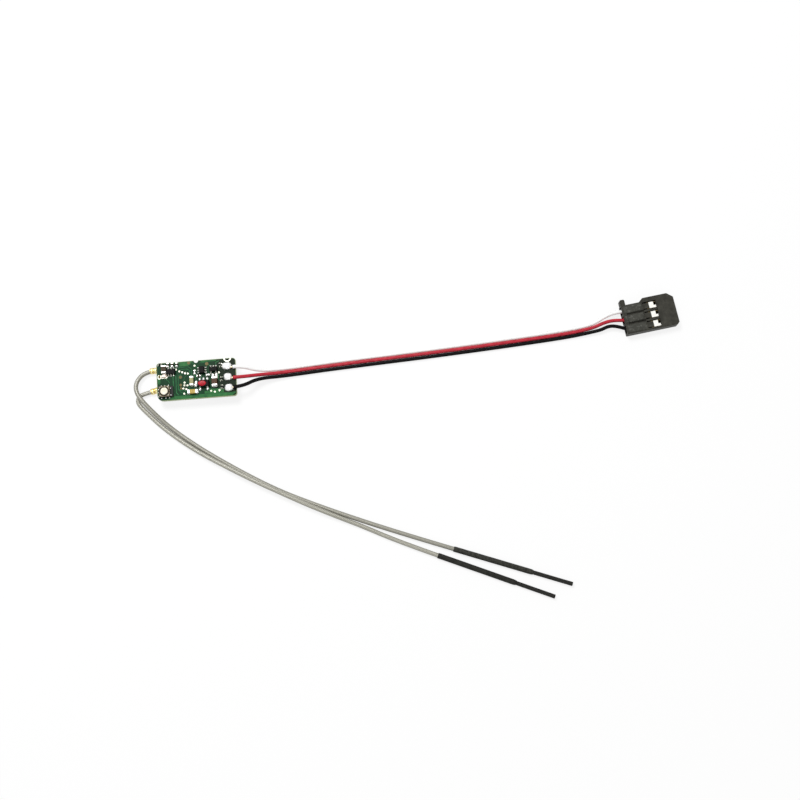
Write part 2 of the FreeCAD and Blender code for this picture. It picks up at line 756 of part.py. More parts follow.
cover = doc.addObject("PartDesign::Body", "switch_cover_body")
cover.setExpression("Placement.Base.x", linked("switch_x - switch_side / 2"))
cover.setExpression("Placement.Base.y", linked("switch_y - switch_side / 2"))
cover.setExpression("Placement.Base.z", linked("switch_top"))
cover_sketch = outline(cover, "cover_outline", rectangle("0", "0", "switch_side", "switch_side"))
pad(cover, "cover_plate", cover_sketch, "cover_thickness")
hole_sketch = round_outline(
    cover, "cover_hole_outline", "switch_side / 2", "switch_side / 2", "cover_hole"
)
pocket(cover, "cover_opening", hole_sketch, "cover_thickness")
keep(cover, "switch_cover")

well_floor = "board_top + switch_floor"
flange = rod("plunger_flange_disc", "plunger_flange / 2", "plunger_flange_height",
             "switch_x", "switch_y", "switch_top - plunger_flange_height")
head = rod("plunger_head_disc", "plunger_top / 2", "cover_thickness + plunger_rise",
           "switch_x", "switch_y", "switch_top")
doc.recompute()
head_round = doc.addObject("Part::Fillet", "plunger_head_rounding")
head_round.Base = head
rim = [n for n, e in enumerate(head.Shape.Edges, 1) if e.BoundBox.ZMin > head.Shape.BoundBox.ZMax - 1e-6]
head_round.Edges = [(n, 0.1, 0.1) for n in rim]
keep(fuse("plunger", [flange, head_round]), "switch_plunger")

# the dome is a shallow bowl of thin sheet, upside down
dome_rise = size("dome_height")
dome_half = size("dome_diameter") / 2
dome_radius = (dome_half**2 + dome_rise**2) / (2 * dome_rise)
dome_t = size("dome_sheet")
dome_foot = size("board_top") + size("switch_floor")
dome_centre = V(size("switch_x"), size("switch_y"), dome_foot + dome_rise - dome_radius)
shell = Part.makeSphere(dome_radius, dome_centre).cut(Part.makeSphere(dome_radius - dome_t, dome_centre))
above = Part.makeCylinder(dome_half + 1, dome_rise + 1, V(dome_centre.x, dome_centre.y, dome_foot))
shaped("switch_dome", shell.common(above).Solids[0])

# solder points round the button, seen from above as a ring of bright dots
LUMPS = [(-0.3, 1), (0.02, 1), (0.34, 1), (-0.3, -1), (0.08, -1), (0.42, -1)]
lumps = []
lump = size("lump_radius")
half_side = size("switch_side") / 2
for share, side in LUMPS:
    spot = V(size("switch_x") + share * size("switch_side"),
             size("switch_y") + side * (half_side + lump * 1.05), size("board_top"))
    lumps.append(Part.makeSphere(lump, spot, V(0, 0, 1), 0, 90, 360))
for share in (-0.42, -0.03, 0.24):
    spot = V(size("switch_x") - half_side - lump * 1.05,
             size("switch_y") + share * size("switch_side"), size("board_top"))
    lumps.append(Part.makeSphere(lump, spot, V(0, 0, 1), 0, 90, 360))
for share in (-0.36, 0.28):
    spot = V(size("switch_x") + half_side + lump * 1.1,
             size("switch_y") + share * size("switch_side"),
             size("board_top") + size("switch_ledge_height"))
    lumps.append(Part.makeSphere(lump, spot, V(0, 0, 1), 0, 90, 360))
shaped("switch_terminals", Part.makeCompound(lumps))

# Antenna sockets under the board, and the plugs snapped onto them
underside = size("board_bottom")


def socket(node, y):
    """A square insulator and a drawn metal ring with a centre pin, hanging under the board."""
    side = size("socket_base")
    deep = size("socket_base_height")
    centre = V(size("socket_x"), y, 0)
    ring_outer = size("socket_ring") / 2
    ring_inner = ring_outer - size("socket_ring_wall")
    ring_deep = size("socket_ring_height")
    insulator = Part.makeBox(side, side, deep, V(-side / 2, -side / 2, underside - deep))
    core = Part.makeCylinder(size("socket_pin") / 2, deep, V(0, 0, underside - deep))
    insulator = insulator.cut(core)
    low = underside - deep - ring_deep
    ring = Part.makeCylinder(ring_outer, ring_deep, V(0, 0, low))
    ring = ring.cut(Part.makeCylinder(ring_inner, ring_deep, V(0, 0, low)))
    pin = Part.makeCylinder(size("socket_pin") / 2, deep + ring_deep * 0.8,
                            V(0, 0, underside - deep - ring_deep * 0.8))
    for shape in (insulator, ring, pin):
        shape.translate(centre)
    shaped(node + "_insulator", insulator)
    shaped(node + "_contacts", Part.makeCompound([ring, pin]))


socket("far_socket", size("socket_far_y"))
socket("near_socket", size("socket_near_y"))


def antenna_plug(node, y, turn):
    """A drawn cap that snaps over the socket ring, with a crimp barrel round the cable."""
    inner = size("socket_ring") / 2 + size("head_fit")
    outer = inner + size("head_wall")
    tall = size("head_height")
    cap = size("head_cap")
    bore = size("coax_diameter") / 2 + size("barrel_fit")
    tube = bore + size("barrel_wall")
    level = size("coax_height")
    reach = outer + size("barrel_length")
    mouth = size("barrel_mouth")
    flare = size("barrel_flare")
    cup = Part.makeCylinder(outer, tall)
    rims = [e for e in cup.Edges if e.BoundBox.ZMax < 1e-6]
    cup = cup.makeFillet(0.2, rims)
    barrel = Part.makeCylinder(tube, reach, V(0, 0, level), V(1, 0, 0))
    whole = cup.fuse(barrel)
    whole = whole.cut(Part.makeCylinder(inner, tall, V(0, 0, cap)))
    whole = whole.cut(Part.makeCylinder(bore, reach, V(0, 0, level), V(1, 0, 0)))
    cone = Part.makeCone(bore, bore + flare, mouth, V(reach - mouth, 0, level), V(1, 0, 0))
    whole = whole.cut(cone)
    place = FreeCAD.Placement(V(size("socket_x"), y, 0), FreeCAD.Rotation(V(0, 0, 1), turn))
    shaped(node, whole.removeSplitter(), place)
    # the insulator holds the centre contact, above the cable's end
    filling = Part.makeCylinder(inner - 0.25, 0.3, V(0, 0, cap))
    shaped(node + "_insulator", filling, place)


antenna_plug("far_antenna_plug", size("socket_far_y"), size("far_plug_turn"))
antenna_plug("near_antenna_plug", size("socket_near_y"), size("near_plug_turn"))

# Shield can: drawn sheet with vent holes, open towards the board
can = doc.addObject("PartDesign::Body", "shield_can_body")
can.setExpression("Placement.Base.x", linked("can_x - can_length / 2"))
can.setExpression("Placement.Base.y", linked("0 - can_width / 2"))
can_sketch = outline(can, "can_outline", rectangle("0", "0", "can_length", "can_width"))
can_pad = pad(can, "can_block", can_sketch, "board_bottom")
doc.recompute()
length, width = size("can_length"), size("can_width")
names = upright_edges(can_pad.Shape, [(0, 0), (length, 0), (0, width), (length, width)], 0.01)
rounded(can, "can_corners", can_pad, names, "can_corner")
inside_sketch = outline(
    can, "can_inside",
    rectangle("can_sheet", "can_sheet", "can_length - can_sheet * 2", "can_width - can_sheet * 2"),
    "can_sheet",
)
pocket(can, "can_hollow", inside_sketch, "board_bottom")
vent_sketch = round_outline(
    can, "vent_outline", "can_length / 2 - can_vent_pitch", "can_width / 2", "can_vent"
)
vent = pocket(can, "vent", vent_sketch, "can_sheet")
row_of(can, "vent_row", [vent], vent_sketch, "H_Axis", "can_vent_pitch * 2", 3)
keep(can, "shield_can")

# Chips under the board
keep(
    block("transceiver_block", "transceiver_side", "transceiver_side", "transceiver_height",
          "transceiver_x - transceiver_side / 2", "0 - transceiver_side / 2",
          "board_bottom - transceiver_height"),
    "transceiver_chip",
)
keep(
    block("crystal_block", "crystal_width", "crystal_length", "crystal_height",
          "crystal_x - crystal_width / 2", "0 - crystal_length / 2",
          "board_bottom - crystal_height"),
    "crystal",
)
keep(
    block("controller_block", "controller_side", "controller_side", "controller_height",
          "controller_x - controller_side / 2", "0 - controller_side / 2",
          "board_bottom - controller_height"),
    "microcontroller_chip",
)

# Cords: straight runs joined by tangent arcs


def cord(node, points, diameter):
    """A plain tube along the points, with an arc at each point between the ends."""
    spots = [V(*p) for p in points]
    runs = [(b - a).Length for a, b in zip(spots, spots[1:])]
    edges = []
    start = spots[0]
    radii = []
    for k in range(1, len(spots) - 1):
        before = (spots[k - 1] - spots[k]).normalize()
        after = (spots[k + 1] - spots[k]).normalize()
        turn = math.pi - before.getAngle(after)
        back = 0.45 * min(runs[k - 1], runs[k])
        radius = back / math.tan(turn / 2)
        radii.append(round(radius, 2))
        first = spots[k] + before * back
        last = spots[k] + after * back
        inward = (before + after).normalize()
        centre = spots[k] + inward * (radius / math.cos(turn / 2))
        middle = centre - inward * radius
        edges.append(Part.LineSegment(start, first).toShape())
        edges.append(Part.Arc(first, middle, last).toShape())
        start = last
    edges.append(Part.LineSegment(start, spots[-1]).toShape())
    path = Part.Wire(edges)
    heading = (spots[1] - spots[0]).normalize()
    ring = Part.Wire([Part.makeCircle(diameter / 2, spots[0], heading)])
    tube = path.makePipeShell([ring], True, False)
    wanted = math.pi * diameter**2 / 4 * path.Length
    print(node, "radii", radii)
    print(node, "length", round(path.Length, 2), "volume ratio", round(tube.Volume / wanted, 5))
    shaped(node, tube)
    return path.Length


coax_level = size("coax_diameter") / 2
exit_level = size("coax_height")
sleeve_level = size("sleeve_diameter") / 2
cross_level = coax_level + size("coax_diameter") * 1.06


def beyond(x, y, degrees, distance):
    angle = math.radians(degrees)
    return x + distance * math.cos(angle), y + distance * math.sin(angle)


# the cable's start lies inside the crimp barrel, its end inside the sleeve
far_start = beyond(size("socket_x"), size("socket_far_y"), size("far_plug_turn"), 1.4)
far_end = beyond(size("far_sleeve_x"), size("far_sleeve_y"), size("far_sleeve_turn"), size("sleeve_grip"))
far_bend = beyond(size("socket_x"), size("socket_far_y"), size("far_plug_turn"), 4.6)
far_lead_in = beyond(size("far_sleeve_x"), size("far_sleeve_y"), size("far_sleeve_turn"), -15)
FAR_COAX = [
    (far_start[0], far_start[1], exit_level),
    (far_bend[0], far_bend[1], exit_level),
    (-15.95, 1.1, 1.35),
    (-16.0, -2.1, cross_level),
    (-13.15, -5.95, cross_level),
    (-7.91, -11.5, coax_level),
    (-0.6, -17.35, coax_level),
    (6.9, -22.5, coax_level),
    (14.5, -27.3, coax_level),
    (20.5, -30.65, coax_level),
    (26.5, -33.5, coax_level),
    (33.5, -36.66, coax_level),
    (far_lead_in[0], far_lead_in[1], sleeve_level),
    (far_end[0], far_end[1], sleeve_level),
]
cord("far_coax", FAR_COAX, size("coax_diameter"))
near_start = beyond(size("socket_x"), size("socket_near_y"), size("near_plug_turn"), 2.4)
near_end = beyond(size("near_sleeve_x"), size("near_sleeve_y"), size("near_sleeve_turn"), size("sleeve_grip"))
near_bend = beyond(size("socket_x"), size("socket_near_y"), size("near_plug_turn"), 6.07)
near_lead_in = beyond(size("near_sleeve_x"), size("near_sleeve_y"), size("near_sleeve_turn"), -10)
NEAR_COAX = [
    (near_start[0], near_start[1], exit_level),
    (near_bend[0], near_bend[1], exit_level),
    (-15.71, -3.38, coax_level + 0.05),
    (-15.72, -4.75, coax_level),
    (-13.5, -7.35, coax_level),
    (-8.73, -12.34, coax_level),
    (-1.27, -18.25, coax_level + 0.45),
    (6.2, -22.99, coax_level + 0.9),
    (13.91, -27.59, coax_level + 1.09),
    (20.0, -30.9, coax_level + 1.12),
    (26.0, -34.14, coax_level + 0.95),
    (33.0, -37.57, coax_level + 0.57),
    (39.5, -40.57, coax_level),
    (near_lead_in[0], near_lead_in[1], sleeve_level),
    (near_end[0], near_end[1], sleeve_level),
]
cord("near_coax", NEAR_COAX, size("coax_diameter"))

# Sleeves and tips of the antennas
for side in ("far", "near"):
    place = FreeCAD.Placement(
        V(size(side + "_sleeve_x"), size(side + "_sleeve_y"), sleeve_level),
        FreeCAD.Rotation(V(0, 0, 1), size(side + "_sleeve_turn")),
    )
    sleeve = Part.makeCylinder(sleeve_level, size("sleeve_length"), V(0, 0, 0), V(1, 0, 0))
    end_edges = [edge for edge in sleeve.Edges if edge.Closed and edge.BoundBox.XLength < 1e-6]
    sleeve = sleeve.makeFillet(size("end_rounding"), end_edges)
    bore = size("coax_diameter") / 2 + size("sleeve_fit")
    sleeve = sleeve.cut(Part.makeCylinder(bore, size("sleeve_grip"), V(0, 0, 0), V(1, 0, 0)))
    shaped(side + "_sleeve", sleeve, place)
    tip_from = V(size("sleeve_length"), 0, 0)
    tip = Part.makeCylinder(size("tip_diameter") / 2, size("tip_length"), tip_from, V(1, 0, 0))
    tip_to = size("sleeve_length") + size("tip_length")
    tip_far_edges = [edge for edge in tip.Edges if edge.BoundBox.XMin > tip_to - 1e-6]
    tip = tip.makeFillet(size("end_rounding"), tip_far_edges)
    shaped(side + "_tip", tip, place)

# Wires of the lead
way = [size("first_way") + step * size("pin_pitch") for step in (2, 1, 0)]
plug_place = FreeCAD.Placement(
    V(size("plug_x"), size("plug_y"), 0), FreeCAD.Rotation(V(0, 0, 1), size("plug_turn"))
)


def in_plug(along, across, level):
    spot = plug_place.multVec(V(along, across, level))
    return (spot.x, spot.y, spot.z)


def wire(node, way_across, wire_y, points, approach):
    """One wire from its solder joint to its crimp. The approach is places in the plug's own frame."""
    level = size("cavity_middle")
    start = [(insulation_start, wire_y, wire_level), (insulation_start + 2.4, wire_y, wire_level)]
    end = [in_plug(*place) for place in approach]
    end.append(in_plug(0.8, way_across, level))
    end.append(in_plug(size("wire_end"), way_across, level))
    cord(node, start + points + end, size("wire_diameter"))


floor_level = wire_radius + 0.02
WHITE = [
    (16.0, 1.3, 2.0), (22.6, 1.68, floor_level), (35.6, 2.58, floor_level),
    (60.9, 3.82, floor_level), (84.0, 5.26, floor_level), (97.0, 6.22, floor_level),
    (103.4, 7.1, 0.8),
]
RED = [
    (16.2, 0.28, 1.95), (22.7, 0.72, floor_level), (35.7, 1.62, floor_level),
    (61.0, 2.86, floor_level), (84.1, 4.3, floor_level), (97.1, 5.26, floor_level),
    (103.3, 6.1, 0.8),
]
BLACK = [
    (15.6, -0.72, 2.1), (22.4, -0.26, floor_level), (35.8, 0.66, floor_level),
    (61.1, 1.9, floor_level), (84.2, 3.34, floor_level), (97.2, 4.31, floor_level),
    (103.2, 5.0, 0.8),
]
white_approach = [(-4.9, 6.0, 1.15), (-2.5, 6.6, 1.25)]
red_approach = [(-5.2, 4.6, 1.15), (-2.6, 4.75, 1.25)]
black_approach = [(-6.2, 2.95, 1.0), (-4.0, 3.5, 1.2), (-1.9, 2.95, 1.25)]
wire("white_wire", way[0], wire_spots[0], WHITE, white_approach)
wire("red_wire", way[1], wire_spots[1], RED, red_approach)
wire("black_wire", way[2], wire_spots[2], BLACK, black_approach)

# Plug housing: one moulding, open at the rear for the contacts
plug = doc.addObject("PartDesign::Body", "plug_body")
plug.setExpression("Placement.Base.x", linked("plug_x"))
plug.setExpression("Placement.Base.y", linked("plug_y"))
plug.Placement = FreeCAD.Placement(
    V(size("plug_x"), size("plug_y"), 0), FreeCAD.Rotation(V(0, 0, 1), size("plug_turn"))
)
plug_points = [
    ("0", "0"),
    ("plug_length - front_bevel", "0"),
    ("plug_length", "front_bevel_across"),
    ("plug_length", "plug_width + flange_width - front_slope_across"),
    ("plug_length - front_slope", "plug_width + flange_width"),
    ("flange_start + flange_ramp", "plug_width + flange_width"),
    ("flange_start", "plug_width"),
    ("0", "plug_width"),
]
plug_sketch = outline(plug, "plug_outline", plug_points)
pad(plug, "plug_block", plug_sketch, "plug_height")
nub_sketch = outline(plug, "nub_outline", rectangle("nub_start", "plug_width", "nub_length", "nub_width"))
nub_pad = pad(plug, "grip_nub", nub_sketch, "nub_height")
doc.recompute()
nub_top = size("plug_width") + size("nub_width")
nub_end = size("nub_start") + size("nub_length")
names = upright_edges(nub_pad.Shape, [(size("nub_start"), nub_top), (nub_end, nub_top)], 0.01)
rounded(plug, "nub_corners", nub_pad, names, "nub_rounding")
cavity_sketch = outline(
    plug, "cavity_outline",
    rectangle("0", "first_way - cavity_width / 2", "plug_length - front_wall", "cavity_width"),
    "cavity_bottom",
)
cavity = pocket(plug, "cavity", cavity_sketch, "cavity_height")
hole_sketch = outline(
    plug, "pin_hole_outline",
    rectangle("plug_length - front_wall", "first_way - pin_hole / 2", "front_wall", "pin_hole"),
    "cavity_middle - pin_hole / 2",
)
pin_hole = pocket(plug, "pin_hole", hole_sketch, "pin_hole")
window_sketch = outline(
    plug, "window_outline",
    rectangle("window_start", "first_way - window_width / 2", "window_length", "window_width"),
    "cavity_middle",
)
window = pocket(plug, "window", window_sketch, "plug_height")
ways = [cavity, pin_hole, window]
for side, edge in (("near", "first_way - window_width / 2"),
                   ("far", "first_way + window_width / 2 - tongue_gap")):
    gap_sketch = outline(
        plug, side + "_gap_outline",
        rectangle("tongue_start", edge, "window_start - tongue_start", "tongue_gap"),
        "cavity_middle",
    )
    ways.append(pocket(plug, side + "_tongue_gap", gap_sketch, "plug_height"))
row_of(plug, "ways", ways, window_sketch, "V_Axis", "pin_pitch * 2", 3)
recess_sketch = outline(
    plug, "recess_outline",
    rectangle("recess_start", "recess_edge", "recess_length", "plug_width - recess_edge - recess_far_edge"),
    "plug_height - recess_depth",
)
pocket(plug, "window_recess", recess_sketch, "plug_height")
slot_sketch = outline(
    plug, "slot_outline",
    rectangle("slot_start", "first_way + pin_pitch / 2 - slot_width / 2",
              "recess_start - slot_start", "slot_width"),
    "plug_height - slot_depth",
)
slot = pocket(plug, "finger_slot", slot_sketch, "plug_height")
slots = row_of(plug, "finger_slots", [slot], slot_sketch, "V_Axis", "pin_pitch", 2)
doc.recompute()
top = size("plug_height")
slot_near = size("first_way") + size("pin_pitch") / 2 - size("slot_width") / 2
slot_sides = []
for step in (0, 1):
    for side in (0, size("slot_width")):
        slot_sides.append(slot_near + step * size("pin_pitch") + side)
names = []
for number, edge in enumerate(slots.Shape.Edges, start=1):
    first, last = edge.Vertexes[0].Point, edge.Vertexes[-1].Point
    level = min(first.z, last.z) > top - 1e-6 and abs(first.y - last.y) < 1e-6
    if level and any(abs(first.y - y) < 1e-6 for y in slot_sides):
        names.append("Edge%d" % number)
bevel = plug.newObject("PartDesign::Chamfer", "slot_bevels")
bevel.Base = (slots, names)
bevel.setExpression("Size", linked("slot_chamfer"))
doc.recompute()
# the outer upright corners, but not the hollow one and the one that the nub covers
spots = []
for across, along in plug_points:
    sheet.set("D1", "=" + across)
    sheet.set("D2", "=" + along)
    doc.recompute()
    spots.append((float(sheet.get("D1")), float(sheet.get("D2"))))
names = upright_edges(bevel.Shape, spots[:6], 1e-4)
for number, edge in enumerate(bevel.Shape.Edges, start=1):
    first, last = edge.Vertexes[0].Point, edge.Vertexes[-1].Point
    if min(first.z, last.z) < top - 1e-6:
        continue
    for start, finish in zip(spots, spots[1:] + spots[:1]):
        side = Part.LineSegment(V(start[0], start[1], top), V(finish[0], finish[1], top)).toShape()
        if all(side.distToShape(Part.Vertex(point))[0] < 1e-6 for point in (first, last)):
            names.append("Edge%d" % number)
rounded(plug, "plug_roundings", bevel, names, "plug_rounding")
keep(plug, "plug_housing")

# Contacts: folded sheet boxes that grip a header pin, crimped round their wires


def contact(node, across):
    side = size("contact_width")
    tall = size("contact_height")
    sheet_t = size("contact_sheet")
    begin = size("contact_start")
    finish = size("plug_length") - size("front_wall") - size("contact_gap")
    middle = size("cavity_middle")
    low = middle - tall / 2
    box = Part.makeBox(finish - begin, side, tall, V(begin, across - side / 2, low))
    hollow = Part.makeBox(
        finish - begin, side - 2 * sheet_t, tall - 2 * sheet_t,
        V(begin, across - side / 2 + sheet_t, low + sheet_t),
    )
    shape = box.cut(hollow)
    # the top sheet is open behind and in front of the latch bridge that the window shows
    bridge_from = size("window_start") + 0.02
    bridge_to = bridge_from + size("lance_length")
    window_to = size("window_start") + size("window_length")
    inside = side - 2 * sheet_t
    for start, end in ((begin, bridge_from), (bridge_to, window_to)):
        corner = V(start, across - inside / 2, low + tall - sheet_t)
        shape = shape.cut(Part.makeBox(end - start, inside, sheet_t * 2, corner))
    half = size("lance_width") / 2
    bridge = Part.makeBox(
        size("lance_length"), half * 2, sheet_t + size("lance_rise"),
        V(bridge_from, across - half, low + tall - sheet_t),
    )
    hook = Part.makeBox(
        size("hook_length"), size("hook_width"), sheet_t + size("lance_rise") * 0.6,
        V(bridge_to, across - half, low + tall - sheet_t),
    )
    shape = shape.fuse(bridge).fuse(hook)
    # neck between the box and the crimps
    strip_from = size("wire_end") - 1.6
    neck = size("neck_width")
    strip = Part.makeBox(begin - strip_from, neck, sheet_t, V(strip_from, across - neck / 2, low))
    shape = shape.fuse(strip)
    crimp = size("crimp_outer") / 2
    crimp_length = size("crimp_length")
    bore = size("wire_diameter") / 2 + size("crimp_fit")
    grip = Part.makeCylinder(crimp, crimp_length, V(strip_from, across, middle), V(1, 0, 0))
    shape = shape.fuse(grip)
    # second crimp, round the bare strands, on a web that stands on the neck
    strand_bore = size("strand_diameter") / 2 + size("crimp_fit")
    crimp_from = size("wire_end") + 0.35
    square = size("strand_crimp")
    second = Part.makeBox(
        crimp_length, square, square, V(crimp_from, across - square / 2, middle - square / 2)
    )
    web_foot = V(crimp_from, across - square / 4, low)
    web = Part.makeBox(crimp_length, square / 2, middle - square / 2 - low, web_foot)
    shape = shape.fuse(second).fuse(web)
    shape = shape.cut(Part.makeCylinder(bore, size("wire_end") + 0.01, V(0, across, middle), V(1, 0, 0)))
    shape = shape.cut(
        Part.makeCylinder(strand_bore, 3.0, V(size("wire_end"), across, middle), V(1, 0, 0))
    )
    shaped(node, shape.removeSplitter(), plug_place)
    return Part.makeCylinder(
        size("strand_diameter") / 2, 1.9, V(size("wire_end"), across, middle), V(1, 0, 0)
    )


crimped = []
for node, across in zip(("signal_contact", "power_contact", "ground_contact"), way):
    crimped.append(contact(node, across))
shaped("crimped_ends", Part.makeCompound(crimped), plug_place)

doc.recompute()
bad = []
for item in doc.Objects:
    if any(word in ("Invalid", "Error") for word in item.State):
        bad.append("%s state %s" % (item.Name, item.State))
for node, item in final.items():
    shape = item.Shape
    if shape.isNull() or not shape.isValid() or not shape.Solids:
        bad.append("%s has no valid solid" % node)
    else:
        print("%-28s solids %2d volume %.4f" % (node, len(shape.Solids), shape.Volume))
if bad:
    raise RuntimeError("; ".join(bad))
for node, item in final.items():
    item.Shape.exportStep("parts/%s.step" % node)
print("pieces", len(final))
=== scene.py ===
# %% [markdown]
# # A small radio-control receiver
# The object is a bare circuit board, 20 mm long, with two thin antenna cables on its left end and a flat
# lead of three wires on its right end. The lead ends in a plug for header pins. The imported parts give
# every size and place. Here they get their finishes, and the parts that need a finer shape are remade.

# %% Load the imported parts
import math

import bmesh
import bpy
from mathutils import Matrix, Vector, noise


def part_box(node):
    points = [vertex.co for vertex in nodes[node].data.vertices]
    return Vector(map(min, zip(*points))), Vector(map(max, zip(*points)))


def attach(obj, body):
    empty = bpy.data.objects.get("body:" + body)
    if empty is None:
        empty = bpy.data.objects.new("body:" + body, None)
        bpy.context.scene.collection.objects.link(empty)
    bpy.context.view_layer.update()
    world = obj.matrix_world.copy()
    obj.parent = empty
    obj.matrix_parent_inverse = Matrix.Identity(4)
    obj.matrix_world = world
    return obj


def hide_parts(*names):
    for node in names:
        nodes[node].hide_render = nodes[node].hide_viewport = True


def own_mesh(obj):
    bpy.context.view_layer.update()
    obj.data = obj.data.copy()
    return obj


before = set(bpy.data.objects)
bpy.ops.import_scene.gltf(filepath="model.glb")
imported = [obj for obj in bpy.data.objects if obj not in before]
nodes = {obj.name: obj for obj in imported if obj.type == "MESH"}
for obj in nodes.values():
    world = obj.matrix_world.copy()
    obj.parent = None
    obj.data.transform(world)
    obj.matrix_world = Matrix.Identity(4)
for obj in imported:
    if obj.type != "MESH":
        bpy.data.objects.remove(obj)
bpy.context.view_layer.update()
MM = 0.001

# %% [markdown]
# The photograph was taken from almost straight above, a little from the near side. A camera is a place, a
# direction and a lens. The direction is given here by its heading across the table and its angle down to
# the table, which are easier to judge from a picture than three turns.

# %% Camera
IMAGE_SIZE = 800
FOCAL_PIXELS = 1150.0
SENSOR = 36.0
CAMERA_PLACE = Vector((0.04708, -0.06801, 0.29174))
HEADING = math.radians(4.5)
DOWNWARD = math.radians(78.5)


def show(name, data):
    """A new object in the scene."""
    made = bpy.data.objects.new(name, data)
    bpy.context.scene.collection.objects.link(made)
    return made


camera_data = bpy.data.cameras.new("camera")
camera_data.sensor_fit = "HORIZONTAL"
camera_data.sensor_width = SENSOR
camera_data.lens = FOCAL_PIXELS * SENSOR / IMAGE_SIZE
camera_data.clip_start = 0.01
camera = show("camera", camera_data)
level_share = math.cos(DOWNWARD)
forward = Vector((math.sin(HEADING) * level_share, math.cos(HEADING) * level_share, -math.sin(DOWNWARD)))
right = Vector((math.cos(HEADING), -math.sin(HEADING), 0))
up = right.cross(forward)
camera.matrix_world = Matrix((right, up, -forward)).transposed().to_4x4()
camera.location = CAMERA_PLACE
bpy.context.scene.camera = camera
print("lens", round(camera_data.lens, 2), "mm")

# %% [markdown]
# Five cords leave the board: two antenna cables and three wires. A cord is drawn best as one smooth line
# that a tube follows. The points below, in millimetres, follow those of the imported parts, and a few of the
# wires' points are moved a little to where the photograph shows them. They are the control points of a
# NURBS spline, which rounds every corner in the way a springy cable does.

# %% Routes of the antenna cables
COAX_DIAMETER = 1.13 * MM
COAX_EXIT, COAX_LOW, IN_SLEEVE = 0.745, 0.565, 0.72
FAR_COAX_ROUTE = [
    (-10.15, 3.68, COAX_EXIT), (-13.35, 3.68, COAX_EXIT), (-15.95, 1.1, 1.35), (-16.0, -2.1, 1.76),
    (-13.15, -5.95, 1.76), (-7.91, -11.5, COAX_LOW), (-0.6, -17.35, COAX_LOW), (6.9, -22.5, COAX_LOW),
    (14.5, -27.3, COAX_LOW), (20.5, -30.65, COAX_LOW), (26.5, -33.5, COAX_LOW), (33.5, -36.66, COAX_LOW),
    (48.19, -42.82, IN_SLEEVE), (64.07, -48.88, IN_SLEEVE),
]
NEAR_COAX_ROUTE = [
    (-11.11, -1.67, COAX_EXIT), (-14.73, -2.3, COAX_EXIT), (-15.71, -3.38, 0.615), (-15.72, -4.75, COAX_LOW),
    (-13.5, -7.35, COAX_LOW), (-8.73, -12.34, COAX_LOW), (-1.27, -18.25, 1.015), (6.2, -22.99, 1.465),
    (13.91, -27.59, 1.655), (20.0, -30.9, 1.685), (26.0, -34.14, 1.515), (33.0, -37.57, 1.135),
    (39.5, -40.57, COAX_LOW), (48.95, -45.45, IN_SLEEVE), (59.93, -50.29, IN_SLEEVE),
]

# %% Routes of the three wires
WIRE_DIAMETER = 0.93 * MM
WIRE_EXIT, WIRE_LOW = 3.695, 0.485
PLUG_CORNER = Vector((112.1, 3.36, 0))
PLUG_TURN = math.radians(7.5)
WAYS = (6.54, 4.0, 1.46)


def in_plug(along, across, level):
    """A place on the table from its place in the plug, both in millimetres."""
    return PLUG_CORNER + Matrix.Rotation(PLUG_TURN, 3, "Z") @ Vector((along, across, level))


def into_plug(way, *approach):
    """The last points of a wire: it comes in slanting and then lies in its way."""
    places = list(approach) + [(0.8, way, 1.25), (3.3, way, 1.25)]
    return [in_plug(*place) for place in places]


WHITE_ROUTE = [
    (9.45, 2.5, WIRE_EXIT), (11.85, 2.5, WIRE_EXIT), (16.0, 1.3, 2.0), (22.6, 1.68, WIRE_LOW),
    (35.6, 2.58, WIRE_LOW), (60.9, 3.82, WIRE_LOW), (84.0, 5.26, WIRE_LOW), (97.0, 6.22, WIRE_LOW),
    (103.4, 7.1, 0.8),
] + into_plug(WAYS[0], (-4.9, 6.0, 1.15), (-2.5, 6.6, 1.25))
RED_ROUTE = [
    (9.45, -0.31, WIRE_EXIT), (11.85, -0.31, WIRE_EXIT), (16.2, 0.28, 1.95), (22.7, 0.72, WIRE_LOW),
    (35.7, 1.62, WIRE_LOW), (61.0, 2.86, WIRE_LOW), (84.1, 4.3, WIRE_LOW), (97.1, 5.26, WIRE_LOW),
    (103.3, 6.1, 0.8),
] + into_plug(WAYS[1], (-5.2, 4.6, 1.15), (-2.6, 4.75, 1.25))
BLACK_ROUTE = [
    (9.45, -2.85, WIRE_EXIT), (11.85, -2.75, WIRE_EXIT), (15.6, -0.72, 2.1), (22.4, -0.26, WIRE_LOW),
    (35.8, 0.66, WIRE_LOW), (61.1, 1.9, WIRE_LOW), (84.2, 3.35, WIRE_LOW), (97.2, 4.33, WIRE_LOW),
    (103.2, 5.12, 0.8),
] + into_plug(WAYS[2], (-6.2, 2.95, 1.0), (-4.0, 3.5, 1.2), (-1.9, 2.95, 1.25))
print("points", [len(r) for r in (FAR_COAX_ROUTE, NEAR_COAX_ROUTE, WHITE_ROUTE, RED_ROUTE, BLACK_ROUTE)])

# %% [markdown]
# Most shapes that are made here are skins over a row of rings: the outline of a cord at each step, or of
# a mound at each height. One helper joins rings, and the shapes only say where their rings are. A tube
# that is built ring by ring can also carry a pattern that follows the cord, which a bevelled curve can't
# at a true scale. So the spline is only used to read its line. Each ring is turned as little as possible
# against the one before, and its texture coordinates are millimetres along the cord and turns around it.

# %% Skins, lines and tubes


